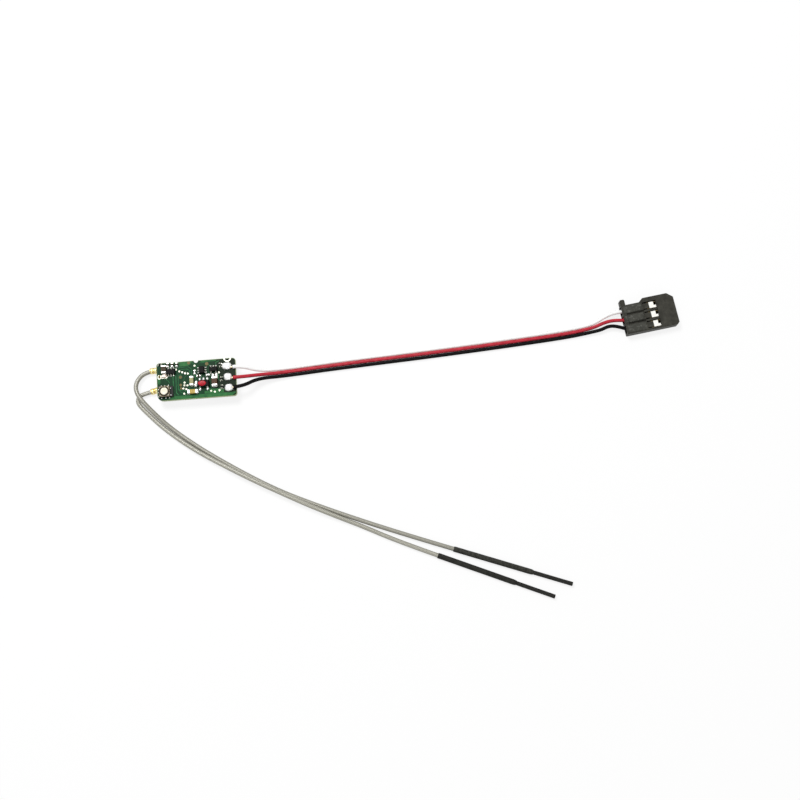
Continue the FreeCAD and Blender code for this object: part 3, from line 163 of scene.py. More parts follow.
def skin(bm, rings, flat=(), pressed=False):
    """Joins rings of corners and shuts both ends. A ring of one corner is a point, and the sides whose
    numbers are in flat aren't shaded smooth. A last ring that is pressed to a line is shut in pairs."""
    faces = []
    for first, second in zip(rings, rings[1:]):
        around = max(len(first), len(second))
        for j in range(around):
            n = (j + 1) % around
            corners = [first[j % len(first)], first[n % len(first)]]
            corners += [second[n % len(second)], second[j % len(second)]]
            face = bm.faces.new(list(dict.fromkeys(corners)))
            face.smooth = j not in flat
            faces.append(face)
    last = rings[-1]
    pairs = range(len(last) // 2 - 1)
    ends = [(last[j], last[j + 1], last[-2 - j], last[-1 - j]) for j in pairs] if pressed else [last]
    for end in (rings[0][::-1], *ends):
        if len(end) > 1:
            bm.faces.new(end)
    return faces


def smooth_line(route, steps=40):
    """Points read from one NURBS spline that has the route's points as its control points."""
    curve = bpy.data.curves.new("route", "CURVE")
    curve.dimensions = "3D"
    spline = curve.splines.new("NURBS")
    spline.points.add(len(route) - 1)
    for point, place in zip(spline.points, route):
        point.co = (*(c * MM for c in place), 1.0)
    spline.order_u = 3
    spline.use_endpoint_u = True
    spline.resolution_u = steps
    carrier = show("route", curve)
    mesh = bpy.data.meshes.new_from_object(carrier)
    line = [vertex.co.copy() for vertex in mesh.vertices]
    bpy.data.objects.remove(carrier)
    bpy.data.meshes.remove(mesh)
    bpy.data.curves.remove(curve)
    return line


def tube(line, radius, around=20):
    """A closed tube along a line. radius is a number, or a function of distance and turns."""
    bm = bmesh.new()
    uv = bm.loops.layers.uv.new("along")
    side = (line[1] - line[0]).normalized().orthogonal().normalized()
    rings, marks = [], []
    distance = 0.0
    for k, centre in enumerate(line):
        before, after = line[max(k - 1, 0)], line[min(k + 1, len(line) - 1)]
        ahead = (after - before).normalized()
        side = (side - ahead * side.dot(ahead)).normalized()
        other = ahead.cross(side)
        if k:
            distance += (centre - line[k - 1]).length
        ring = []
        for j in range(around):
            turns = j / around
            reach = radius(distance, turns) if callable(radius) else radius
            angle = 2 * math.pi * turns
            ring.append(bm.verts.new(centre + (side * math.cos(angle) + other * math.sin(angle)) * reach))
        rings.append(ring)
        marks.append(distance)
    for index, face in enumerate(skin(bm, rings)):
        k, j = divmod(index, around)
        corners = ((marks[k], j), (marks[k], j + 1), (marks[k + 1], j + 1), (marks[k + 1], j))
        for loop, (length, step) in zip(face.loops, corners):
            loop[uv].uv = (length / MM, step / around)
    return bm


def make_piece(name, bm, finish, replaced=(), body="receiver"):
    """Turns a bmesh into a piece that rides on a body and stands for the nodes that it replaces."""
    bmesh.ops.recalc_face_normals(bm, faces=bm.faces)
    mesh = bpy.data.meshes.new(name)
    bm.to_mesh(mesh)
    bm.free()
    piece = show(name, mesh)
    mesh.materials.append(finishes[finish])
    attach(piece, body)
    if replaced:
        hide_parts(*replaced)
    return piece


# %% [markdown]
# A finish is a small network of nodes around one shader. Each node gives a value at every place of the
# surface, and arithmetic on such values adds more nodes, so a finish reads like a formula. Most start in
# the same way: the object's own coordinates are turned into millimetres, and noise of a known grain size
# changes the colour and the surface a little.

# %% Helpers for finishes
# The finishes by name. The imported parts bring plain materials, and some of those have the same names.
finishes = {}


class Value:
    """What a node gives, in a material or a world. Arithmetic on it adds Math nodes."""

    def __init__(self, owner, socket):
        self.owner, self.socket = owner, socket

    def step(self, operation, *others):
        return add(self.owner, "ShaderNodeMath", dict(enumerate((self, *others))), operation=operation)

    def __add__(self, other):
        return self.step("ADD", other)

    def __sub__(self, other):
        return self.step("SUBTRACT", other)

    def __mul__(self, other):
        return self.step("MULTIPLY", other)

    def __abs__(self):
        return self.step("ABSOLUTE")


def feed(socket, value):
    """Gives a socket a number, a colour or what another node gives."""
    if isinstance(value, Value):
        value.owner.node_tree.links.new(value.socket, socket)
    else:
        socket.default_value = value


def add(owner, kind, inputs=None, output=0, **settings):
    """A new node with its settings and inputs. It returns one of its outputs."""
    node = owner.node_tree.nodes.new(kind)
    for key, setting in settings.items():
        setattr(node, key, setting)
    for key, value in (inputs or {}).items():
        feed(node.inputs[key], value)
    return Value(owner, node.outputs[output])


def shade(finish, inputs):
    """Feeds the inputs of the finish's shader."""
    for key, value in inputs.items():
        feed(finish.node_tree.nodes["Principled BSDF"].inputs[key], value)


def new_finish(name, roughness, metallic=0.0, shine=0.14):
    """A finish. A dark surface in a white room needs little shine, or it turns grey."""
    finish = finishes[name] = bpy.data.materials.new(name)
    finish.use_nodes = True
    shine = 0.5 if metallic else shine
    shade(finish, {"Roughness": roughness, "Metallic": metallic, "Specular IOR Level": shine})
    return finish


def surface(finish, colour, height, depth):
    """Gives a finish its colour and raises its surface by up to depth, in millimetres."""
    bump = {"Strength": 1.0, "Distance": depth * MM, "Height": height}
    shade(finish, {"Base Color": colour, "Normal": add(finish, "ShaderNodeBump", bump, "Normal")})


def millimetres(finish):
    """The place on the object, in millimetres."""
    place = add(finish, "ShaderNodeTexCoord", output="Object")
    return add(finish, "ShaderNodeVectorMath", {0: place, "Scale": 1000.0}, operation="SCALE")


def axes_of(place):
    """The X, Y and Z of a place."""
    parted = add(place.owner, "ShaderNodeSeparateXYZ", {0: place})
    return [Value(place.owner, socket) for socket in parted.socket.node.outputs]


def grain(place, size, detail=3.0):
    """Noise whose grains are about this many millimetres across."""
    inputs = {"Vector": place, "Scale": 1.0 / size, "Detail": detail, "Roughness": 0.55}
    return add(place.owner, "ShaderNodeTexNoise", inputs, "Fac")


def between(value, low, high):
    """Spreads the part of a value from low to high over 0 to 1."""
    inputs = {"Value": value, "From Min": low, "From Max": high}
    return add(value.owner, "ShaderNodeMapRange", inputs, "Result", clamp=True)


def screen(red, green, blue):
    """A colour as it looks on a screen, 0 to 255, in the linear values that shaders use."""
    shares = [part / 255 for part in (red, green, blue)]
    return (*(s / 12.92 if s <= 0.04045 else ((s + 0.055) / 1.055) ** 2.4 for s in shares), 1.0)


def two_colours(share, first, second):
    """Goes from the first colour to the second. Each is a screen colour or a value."""
    first, second = (screen(*c) if isinstance(c, tuple) else c for c in (first, second))
    return add(share.owner, "ShaderNodeMix", {0: share, 6: first, 7: second}, 2, data_type="RGBA")


def clouds(place, size, dark, light):
    """Two near colours, mixed by noise."""
    return two_colours(between(grain(place, size), 0.3, 0.7), dark, light)


def plain_grained(name, dark, light, grain_size, roughness, depth=0.004, metallic=0.0, shine=0.14):
    """The common case: two near colours mixed by noise, and a fine relief from finer noise."""
    finish = new_finish(name, roughness, metallic, shine)
    place = millimetres(finish)
    surface(finish, clouds(place, grain_size, dark, light), grain(place, grain_size / 4), depth)


# %% [markdown]
# Both antenna cables have a braided screen that can be seen through a clear jacket. Two sets of flat
# strands run round the cable in opposite ways and cross in lozenges. The pattern needs only the texture
# coordinates of the tube: each set is a wave along one slant, and the product of the two says which lies
# on top. The colour follows that height: the gaps are painted darker as painted shade, and the strands on
# top are lighter as painted highlight. The cable that rides on top is a brighter copy with stronger
# contrast, as painted light. The jacket is a clear coat.

# %% Finish of the braided antenna cable
BRAID_LAY, BRAID_STARTS, STRAND_WIRES = 5.6, 4.0, 5.0


def braid_under_jacket(name, dark, light, contrast):
    finish = new_finish(name, 0.42, 0.25)
    shade(finish, {"Coat Weight": 0.3, "Coat Roughness": 0.2})
    along, turns, unused = axes_of(add(finish, "ShaderNodeUVMap", output="UV", uv_map="along"))
    lengthwise = along * (2 * math.pi * BRAID_STARTS / BRAID_LAY)
    around = turns * (2 * math.pi * BRAID_STARTS)
    one_way, other_way = lengthwise + around, lengthwise - around
    crossing = one_way.step("SINE") * other_way.step("SINE")
    on_top = between(crossing, -0.25, 0.25)
    fine_one, fine_other = ((way * STRAND_WIRES).step("SINE") for way in (one_way, other_way))
    fine = add(finish, "ShaderNodeMix", {0: on_top, 2: fine_one, 3: fine_other}, data_type="FLOAT")
    height = fine * 0.35 + abs(crossing)
    # colour by the height of the weave: painted shade in the gaps, painted highlight on the strands on top
    share = between(height * contrast, -0.2, 1.1)
    surface(finish, two_colours(share, dark, light), height, 0.02 * contrast)


# the near cable, which rides on top, is a brighter copy with stronger contrast: painted light
braid_under_jacket("braid_far_shaded", (118, 116, 104), (186, 184, 174), 0.45)
braid_under_jacket("braid_near_lit", (96, 94, 80), (214, 212, 200), 0.8)

# %% [markdown]
# The wires have soft plastic insulation with a slight shine. Extruded insulation is never quite even: its
# colour drifts a little along the wire, and its surface has faint lines along it. The white wire is as
# bright as the table that it lies on.

# %% Finish of the wires


def insulation(name, dark, light, roughness, shine):
    finish = new_finish(name, roughness, shine=shine)
    place = add(finish, "ShaderNodeUVMap", output="UV", uv_map="along")
    stretched = add(finish, "ShaderNodeVectorMath", {0: place, 1: (0.6, 9.0, 1.0)}, operation="MULTIPLY")
    streaks = grain(stretched, 1.0, 4.0)
    surface(finish, two_colours(between(streaks, 0.3, 0.7), dark, light), streaks, 0.012)


insulation("insulation_white", (250, 250, 249), (255, 255, 254), 0.35, 0.3)
insulation("insulation_red", (160, 24, 40), (206, 54, 70), 0.36, 0.2)
insulation("insulation_black", (9, 8, 9), (19, 17, 18), 0.46, 0.06)

# %% Build the five cords
cord_facts = {
    "far_coax": (FAR_COAX_ROUTE, COAX_DIAMETER, "braid_far_shaded", "coax_grey"),
    "near_coax": (NEAR_COAX_ROUTE, COAX_DIAMETER, "braid_near_lit", "coax_grey"),
    "white_wire": (WHITE_ROUTE, WIRE_DIAMETER, "insulation_white", "wire_white"),
    "red_wire": (RED_ROUTE, WIRE_DIAMETER, "insulation_red", "wire_red"),
    "black_wire": (BLACK_ROUTE, WIRE_DIAMETER, "insulation_black", "wire_black"),
}
cord_pieces, cord_lines, cord_lengths = {}, {}, {}
for node, (route, diameter, finish, slot) in cord_facts.items():
    line = smooth_line(route)
    cord_lines[node] = line
    cord_lengths[node] = sum((b - a).length for a, b in zip(line, line[1:]))
    cord_pieces[node] = make_piece(node + "_cord", tube(line, diameter / 2), finish, [node])
    print(node, "points", len(line), "length", round(cord_lengths[node] / MM, 1), "mm")

# %% [markdown]
# The table is white paper under a soft light. A plane that only glows for the camera would lose the
# shadow, so the camera sees part of its glow and part of its lit surface. Mirror-like metal should see the
# same white room, so reflected rays get the same answer as the camera.

# %% Floor and white room
FLOOR_SIZE, FLOOR_LEVEL = 3.0, -0.01 * MM
GLOW_SHARE = 0.8
ROOM_LIGHT = 0.36


def seen_directly(owner):
    """One for rays of the camera, of reflections and of clear things, else zero."""
    rays = owner.node_tree.nodes.new("ShaderNodeLightPath").outputs
    names = ("Is Camera Ray", "Is Glossy Ray", "Is Transmission Ray")
    by_camera, by_gloss, through = (Value(owner, rays[name]) for name in names)
    return by_camera.step("MAXIMUM", by_gloss).step("MAXIMUM", through)


floor_bm = bmesh.new()
bmesh.ops.create_grid(floor_bm, x_segments=1, y_segments=1, size=FLOOR_SIZE / 2)
floor_mesh = bpy.data.meshes.new("floor")
floor_bm.to_mesh(floor_mesh)
floor_bm.free()
floor = show("floor", floor_mesh)
floor.location = (0, 0, FLOOR_LEVEL)
paper = new_finish("white_paper", 0.9)
shade(paper, {"Base Color": (0.86, 0.86, 0.86, 1), "Specular IOR Level": 0.0})
lit = Value(paper, paper.node_tree.nodes["Principled BSDF"].outputs[0])
glow = add(paper, "ShaderNodeEmission", {"Strength": 1.04})
mixed = add(paper, "ShaderNodeMixShader", {0: seen_directly(paper) * GLOW_SHARE, 1: lit, 2: glow})
feed(paper.node_tree.nodes["Material Output"].inputs["Surface"], mixed)
floor_mesh.materials.append(paper)

world = bpy.data.worlds.new("white_room")
world.use_nodes = True
bpy.context.scene.world = world
background = world.node_tree.nodes["Background"].inputs
strengths = {"Value": seen_directly(world), "To Min": ROOM_LIGHT, "To Max": 1.0}
feed(background["Color"], (1, 1, 1, 1))
feed(background["Strength"], add(world, "ShaderNodeMapRange", strengths, "Result"))

# %% [markdown]
# The shadows in the photograph are faint and fall towards the viewer, so the main light is large and
# stands behind the object, high up. A weaker lamp on the near side keeps the near edges readable.

# %% Lamps
LAMP_AIM = Vector((0.04, -0.02, 0))
for name, place, size, power in (
    ("main_lamp", (-0.10, 0.27, 0.55), 0.22, 2.9),
    ("near_lamp", (0.15, -0.45, 0.45), 0.4, 0.35),
):
    light = bpy.data.lights.new(name, "AREA")
    light.shape = "SQUARE"
    light.size = size
    light.energy = power
    lamp = show(name, light)
    lamp.location = place
    lamp.rotation_euler = (LAMP_AIM - Vector(place)).to_track_quat("-Z", "Y").to_euler()
bpy.context.scene.view_settings.view_transform = "Standard"

# %% [markdown]
# Metals come next. Tin on the pads and leads is dull and a little uneven. Solder that has melted is smooth
# and bright. Gold plating on the antenna plugs comes as two copies of one finish: the plug barrels and
# socket contacts are a darker brown gold, painted shade between the crimp bands, and the bands are a paler
# copy, painted highlight. The sheet steel round the button is painted dark, as a painted dark reflection.

# %% Finishes of the metals
# name, dark and light colour, size of the grain, roughness, depth of the relief, how metallic
for facts in (
    ("tinned_copper", (150, 150, 138), (214, 212, 200), 0.35, 0.4, 0.006, 1.0),
    ("dull_tin", (70, 78, 66), (150, 154, 138), 0.3, 0.45, 0.006, 0.5),
    ("bright_solder", (232, 232, 229), (254, 254, 253), 0.4, 0.3, 0.004, 0.5),
    ("flux_solder", (206, 178, 162), (246, 234, 222), 0.5, 0.35, 0.01, 0.5),
    # the two golds are a shaded and a lit copy of one plating: painted shade and painted highlight
    ("gold_painted_shaded", (176, 142, 70), (222, 196, 122), 0.9, 0.3, 0.003, 1.0),
    ("gold_painted_lit", (226, 208, 140), (246, 236, 186), 0.9, 0.26, 0.003, 1.0),
    # the button's sheet steel is painted dark: a painted dark reflection
    ("steel_painted_dark", (30, 26, 20), (78, 70, 54), 0.5, 0.36, 0.006, 0.8),
    ("spring_steel", (150, 150, 148), (190, 190, 188), 0.5, 0.3, 0.003, 1.0),
    ("tin_plate", (186, 186, 182), (204, 204, 200), 2.4, 0.3, 0.002, 1.0),
    ("lid_plating", (190, 186, 170), (222, 218, 204), 0.9, 0.26, 0.004, 1.0),
    ("strand_metal", (196, 178, 142), (240, 228, 204), 0.12, 0.34, 0.004, 1.0),
):
    plain_grained(*facts)

# %% [markdown]
# The spring contacts are folded from bronze. Plating keeps the raised latch bridges white, while the sheet
# below them is painted dark brown, as painted shade of the hollow under each window. The height over the
# table tells the two apart.

# %% Finish of the spring contacts
BOX_TOP = 2.025
plated_bronze = new_finish("plated_bronze", 0.26, 0.9)
place = millimetres(plated_bronze)
raised = between(axes_of(place)[2], BOX_TOP + 0.005, BOX_TOP + 0.04)
# the low sheet is painted dark brown: painted shade of the hollow
hollow_shade = clouds(place, 0.4, (70, 58, 34), (140, 124, 84))
bright = clouds(place, 0.4, (238, 236, 226), (255, 255, 252))
surface(plated_bronze, two_colours(raised, hollow_shade, bright), grain(place, 0.1), 0.004)

# %% [markdown]
# Plastics and ceramics are not metallic: their colour comes from inside. Moulded epoxy is black with a
# fine sandy surface. Fired ceramic is smoother. The plug is dark grey nylon with the fine erosion pattern
# of its mould, which catches the light as small grains, and the tops of those grains are painted lighter
# as painted glints.

# %% Finishes of plastics and ceramics
# name, dark and light colour, size of the grain, roughness, depth of the relief
for facts in (
    ("brown_ceramic", (62, 40, 24), (92, 62, 38), 0.25, 0.4),
    ("beige_ceramic", (140, 136, 92), (196, 190, 146), 0.2, 0.4),
    ("tan_ceramic", (170, 140, 62), (214, 190, 110), 0.25, 0.4),
    ("dark_ceramic", (52, 42, 30), (78, 66, 46), 0.2, 0.45),
    ("black_plastic", (20, 20, 19), (38, 37, 35), 0.15, 0.45, 0.004),
    ("white_plastic", (222, 220, 208), (240, 238, 228), 0.6, 0.4, 0.003),
    ("red_lacquer", (150, 18, 30), (206, 44, 58), 0.4, 0.3, 0.01),
    ("tarnished_copper", (92, 84, 46), (132, 116, 70), 0.3, 0.4),
    ("shrink_tubing", (24, 24, 21), (46, 46, 41), 0.9, 0.4, 0.006),
    ("scuffed_tubing", (22, 22, 19), (64, 64, 58), 0.5, 0.4, 0.01),
    ("tip_jacket", (22, 22, 20), (44, 44, 40), 0.6, 0.38, 0.006),
):
    plain_grained(*facts)
plain_grained("moulded_epoxy", (6, 6, 6), (22, 22, 21), 0.1, 0.5, 0.006, shine=0.08)
plain_grained("lacquer_on_tracks", (16, 84, 44), (48, 122, 70), 0.8, 0.32, shine=0.08)
plain_grained("lacquer_on_copper", (20, 84, 42), (52, 122, 62), 1.5, 0.32, shine=0.08)


def eroded_nylon(name, dark, light, wear_and_glint, worn_from):
    """Nylon from an eroded mould, with lighter places where it has been handled, and the tops of its fine
    grains painted lighter as painted glints.
    """
    finish = new_finish(name, 0.5)
    place = millimetres(finish)
    colour = clouds(place, 1.6, dark, light)
    blotches = between(grain(place, 0.7, 4.0), worn_from, worn_from + 0.16)
    colour = two_colours(blotches * 0.8, colour, wear_and_glint)
    sandy = grain(place, 0.11, 5.0)
    # the tops of the sandy grain are painted lighter: painted glints
    surface(finish, two_colours(between(sandy, 0.56, 0.8) * 0.3, colour, wear_and_glint), sandy, 0.014)


eroded_nylon("eroded_nylon", (40, 39, 34), (66, 65, 58), (88, 88, 82), 0.62)
# a lighter copy of the nylon for the finger tops: partly wear, partly painted sheen
eroded_nylon("wear_and_sheen_nylon", (48, 48, 43), (74, 74, 68), (104, 104, 98), 0.54)

# %% [markdown]
# The board is woven glass and resin, with a green lacquer on both faces. Its colour is darker towards the
# end with the lead. The edges are cut and show the pale laminate in thin layers. One finish does it all: the
# direction of the surface, in the object's own coordinates, says whether a place is on a face or on a cut
# edge, and the lacquer stops a little short of that edge.

# %% Finish of the circuit board
HALF_LENGTH, HALF_WIDTH, CORNER = 10.2, 5.0, 0.8
THREAD_PITCH, LAYER_PITCH = 0.42, 0.13

laminate = new_finish("lacquered_laminate", 0.3, shine=0.06)
place = millimetres(laminate)
x, y, z = axes_of(place)
warp, weft = ((axis * (2 * math.pi / THREAD_PITCH)).step("SINE") for axis in (x, y))
weave = warp * weft
lacquer = two_colours(between(grain(place, 2.2), 0.25, 0.75), (1, 34, 14), (4, 66, 34))
lacquer = two_colours(between(weave, -5.0, 9.0), lacquer, (12, 66, 34))
# the colour darkens towards the end with the lead
lacquer = two_colours(between(x, 3.4, 6.2) * 0.85, lacquer, (16, 26, 10))
layers = (z * (2 * math.pi / LAYER_PITCH)).step("SINE")
edge = two_colours(between(layers, -1.0, 1.0), (138, 160, 116), (204, 210, 166))
faces_up = abs(axes_of(add(laminate, "ShaderNodeTexCoord", output="Normal"))[2])
past_x = (abs(x) - (HALF_LENGTH - CORNER)).step("MAXIMUM", 0.0)
past_y = (abs(y) - (HALF_WIDTH - CORNER)).step("MAXIMUM", 0.0)
from_middle = (past_x * past_x + past_y * past_y).step("SQRT")
on_face = between(faces_up, 0.4, 0.6) * between(from_middle, CORNER - 0.08, CORNER - 0.13)
surface(laminate, two_colours(on_face, edge, lacquer), weave * 0.25 + grain(place, 0.3), 0.002)
print("finishes", len(finishes))

# %% [markdown]
# Copper under the lacquer shows as lighter green, and it stands out by its own thickness. Tracks are flat
# ribbons with round ends. Each one is a single outline: both sides are offset from its middle line, the
# bends are mitred, and a half circle closes each end. The broad areas of copper are flat plates.

# %% Helpers for flat copper
BOARD_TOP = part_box("circuit_board")[1].z
print("board top", round(BOARD_TOP / MM, 2), "mm")


def ray(angle):
    """A level direction."""
    return Vector((math.cos(angle), math.sin(angle), 0))


def arc(x, y, radius, start, finish, count=9):
    """Points on a round bend, from one direction to another in degrees."""
    steps = [math.radians(start + (finish - start) * k / (count - 1)) for k in range(count)]
    return [(x + radius * math.cos(angle), y + radius * math.sin(angle)) for angle in steps]


def plate(bm, outline, thickness):
    """A flat plate on the board. Its outline is in millimetres."""
    levels = (BOARD_TOP, BOARD_TOP + thickness)
    rings = [[bm.verts.new((x * MM, y * MM, level)) for x, y in outline] for level in levels]
    skin(bm, rings, flat=range(len(outline)))


def track(bm, width, points, thickness):
    """A ribbon of even width along some points, with mitred bends and round ends."""
    places = [Vector((x, y, 0)) for x, y in points]
    headings = [(b - a).normalized() for a, b in zip(places, places[1:])]
    left, right = [], []
    for k, place in enumerate(places):
        before, after = headings[max(k - 1, 0)], headings[min(k, len(headings) - 1)]
        middle = (before + after).normalized()
        off = Vector((-middle.y, middle.x, 0)) * (width / 2 / max(middle.dot(after), 0.6))
        left.append(place + off)
        right.append(place - off)
    outline = list(right)
    for end, ahead, side in ((places[-1], headings[-1], left), (places[0], -headings[0], [])):
        turned = math.atan2(ahead.y, ahead.x) - math.pi / 2
        outline += [end + ray(turned + math.pi * step / 7) * width / 2 for step in range(1, 7)]
        outline += side[::-1]
    plate(bm, [(p.x, p.y) for p in outline], thickness)


# %% Tracks, broad copper and bare spots
TRACK_THICKNESS = 0.018 * MM
THICKNESS_STEP = 0.0008 * MM
TRACKS = [
    (0.22, [(-6.0, 1.35), (-6.0, -3.3), (-5.7, -3.75)]),
    (0.22, [(-5.28, 1.55), (-5.28, -3.1), (-4.8, -3.7)]),
    (0.16, [(-5.28, 1.55), (-5.7, 1.95)]),
    (0.16, arc(-4.1, 0.88, 0.62, 70, 200) + [(-4.72, -0.2)] + arc(-4.11, -1.18, 0.68, 150, 215)),
    (0.16, [(-4.66, -1.57), (-4.72, -2.3), (-4.1, -3.1), (-3.3, -3.5)]),
    (0.16, arc(-3.94, -2.11, 0.55, 200, 330) + [(-2.9, -2.9), (-2.4, -3.05)]),
    (0.14, [(-4.9, 2.62), (-4.3, 2.92), (-2.3, 2.92), (-1.75, 2.55), (-1.75, 1.2)]),
    (0.14, [(-4.6, 3.3), (-4.0, 3.48), (-2.0, 3.48), (-1.25, 2.9), (-1.25, 1.15)]),
    (0.14, [(-3.08, -0.6), (-3.3, 0.1), (-3.0, 0.8), (-2.2, 1.71)]),
    (0.14, [(-2.4, -1.39), (-1.9, -1.9), (-1.9, -2.4)]),
    (0.14, [(-3.16, -1.33), (-3.16, -0.6)]),
    (0.16, [(-0.36, 3.63), (0.2, 3.3), (0.5, 2.95)]),
    (0.16, [(-1.81, 4.5), (-0.9, 4.5), (-0.36, 3.63)]),
    (0.14, [(2.95, 3.95), (3.3, 3.6), (3.8, 3.3)]),
    (0.16, [(2.95, 3.95), (2.3, 4.3), (1.0, 4.3)]),
    (0.14, [(5.8, 1.4), (5.6, 0.7), (5.6, -0.3), (6.1, -0.9)]),
    (0.14, [(5.1, 3.2), (5.1, 4.1), (6.0, 4.5)]),
    (0.18, [(3.1, -0.2), (3.1, -2.6), (3.6, -3.3)]),
    (0.14, [(5.75, -3.3), (6.1, -3.0)]),
    (0.14, [(4.54, -3.6), (4.54, -4.2), (7.0, -4.2)]),
    (0.16, [(-7.9, 0.6), (-7.3, 0.2), (-7.0, -0.4)]),
    (0.16, [(-9.6, 0.5), (-9.6, -0.6)]),
    (0.14, [(-0.7, 1.3), (-0.2, 0.9), (-0.2, -0.4)]),
    (0.14, [(1.0, 0.2), (1.3, 0.6), (1.3, 1.1)]),
]
BROAD_COPPER = [
    [(-7.3, -4.85), (9.0, -4.85), (9.85, -4.2), (9.85, -3.95), (-6.3, -3.95)],
    [(1.9, -3.9), (6.9, -3.9), (6.9, -3.05), (6.2, -2.75), (3.4, -2.75), (3.0, -3.2), (1.9, -3.3)],
    [(-4.3, 3.75), (-2.3, 3.75), (-1.5, 4.0), (-1.0, 4.85), (-4.3, 4.85)],
    [(1.2, 4.5), (5.2, 4.5), (5.2, 4.85), (1.2, 4.85)],
    [(-9.95, -0.4), (-9.3, -0.4), (-9.3, 0.75), (-9.95, 0.75)],
]
# place and radius, in millimetres
BARE_SPOTS = [
    (-4.1, 0.88, 0.4), (-4.11, -1.18, 0.36), (-4.03, -2.05, 0.3), (2.78, 3.92, 0.45), (-1.85, 4.5, 0.4),
]
tracks_bm, pours_bm, spots_bm = bmesh.new(), bmesh.new(), bmesh.new()
for k, (width, points) in enumerate(TRACKS):
    track(tracks_bm, width, points, TRACK_THICKNESS + THICKNESS_STEP * k)
for k, outline in enumerate(BROAD_COPPER):
    plate(pours_bm, outline, TRACK_THICKNESS * 0.5 + THICKNESS_STEP * k)
for x, y, radius in BARE_SPOTS:
    plate(spots_bm, arc(x, y, radius, 0, 360, 21)[:-1], TRACK_THICKNESS * 2.4)
make_piece("copper_tracks", tracks_bm, "lacquer_on_tracks")
make_piece("broad_copper", pours_bm, "lacquer_on_copper")
make_piece("bare_copper_spots", spots_bm, "tarnished_copper")
print("tracks", len(TRACKS), "broad areas", len(BROAD_COPPER))

# %% [markdown]
# The chips and capacitors are packed as exact blocks. Real ones have slightly rounded edges, and these
# small roundings are what catches the light. So each one is copied, its edges are bevelled, and only the
# bevels are shaded smooth, which keeps the flat faces flat.

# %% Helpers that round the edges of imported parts


def packed_mesh(node, flats_joined=True):
    """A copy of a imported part's mesh, with one face on each flat side if wanted."""
    bm = bmesh.new()
    bm.from_mesh(nodes[node].data)
    bmesh.ops.remove_doubles(bm, verts=bm.verts, dist=1e-7)
    if flats_joined:
        bmesh.ops.dissolve_limit(bm, angle_limit=math.radians(1), verts=bm.verts, edges=bm.edges)
        for face in bm.faces:
            face.smooth = False
    return bm


def is_sharp(edge, degrees):
    return len(edge.link_faces) == 2 and edge.calc_face_angle() > math.radians(degrees)


def rounded_copy(name, node, rounding, finish, slot):
    """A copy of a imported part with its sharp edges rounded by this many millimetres."""
    bm = packed_mesh(node)
    sharp = [edge for edge in bm.edges if is_sharp(edge, 25)]
    made = bmesh.ops.bevel(
        bm, geom=sharp, offset=rounding * MM, segments=2, profile=0.5, affect="EDGES", clamp_overlap=True
    )
    for face in made["faces"]:
        face.smooth = True
    make_piece(name, bm, finish, [node])


# %% Chips, capacitors and resistors
CHIPS = ("regulator", "amplifier", "inverter", "antenna_switch")
for chip in CHIPS:
    rounded_copy(chip + "_case", chip + "_body", 0.035, "moulded_epoxy", "moulded_black")
for part, finish in (
    ("ceramic_capacitor", "brown_ceramic"), ("bead", "beige_ceramic"), ("tan_capacitor", "tan_ceramic"),
    ("radio_filter", "dark_ceramic"),
):
    rounded_copy(part + "_ceramic", part + "_body", 0.05, finish, finish)
    rounded_copy(part + "_caps", part + "_ends", 0.09, "bright_solder", "tin")
for facts in (
    ("resistor_ceramics", "chip_resistor_bodies", 0.02, "moulded_epoxy", "moulded_black"),
    ("resistor_caps", "chip_resistor_ends", 0.05, "dull_tin", "tin"),
    ("small_capacitor_ceramics", "chip_capacitor_bodies", 0.02, "dark_ceramic", "tan_ceramic"),
    ("small_capacitor_caps", "chip_capacitor_ends", 0.06, "bright_solder", "tin"),
):
    rounded_copy(*facts)

# %% [markdown]
# Solder is the brightest thing on the board. It climbs each end cap and each lead in a hollow slope and
# ends in a rounded edge on its pad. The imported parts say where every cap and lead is: a mesh is split into
# its separate solids, and each one gives a place, a direction and a size for its solder.

# %% Find the separate solids of a node


def separate_solids(node):
    """The corners of each separate solid of a node, as a list of lists of points."""
    bm = packed_mesh(node, flats_joined=False)
    left = set(bm.verts)
    found = []
    while left:
        queue = [min(left, key=lambda v: v.index)]
        left.discard(queue[0])
        group = []
        while queue:
            vertex = queue.pop()
            group.append(vertex.co.copy())
            for edge in vertex.link_edges:
                other = edge.other_vert(vertex)
                if other in left:
                    left.discard(other)
                    queue.append(other)
        found.append(group)
    bm.free()
    return sorted(found, key=lambda g: (round(g[0].x, 6), round(g[0].y, 6)))


def middle_and_half(box):
    """The middle of a box and half of its size, from its two corners."""
    low, high = box
    return (low + high) / 2, (high - low) / 2


def box_of(points):
    """The two corners of the box around some points."""
    return tuple(Vector(pick(p[axis] for p in points) for axis in range(3)) for pick in (min, max))


def reach_of(points, direction):
    """Half of the points' extent along a direction."""
    shares = [p.dot(direction) for p in points]
    return (max(shares) - min(shares)) / 2


# %% Solder on the end caps
PAD_TOP = BOARD_TOP + 0.04 * MM
SLOPE_REACH, SLOPE_OVERLAP = 0.17 * MM, 0.03 * MM
# how hollow a slope is, and the shares by which it narrows, its tip is rounded and its sides drop
HOLLOW, NARROWING, TIP_ROUNDING, SIDE_DROP = 2.1, 0.28, 0.18, 0.75
# the shares of a cap's width and height that its slope covers
CAP_WIDTH_SHARE, CAP_HEIGHT_SHARE = 0.98, 0.8


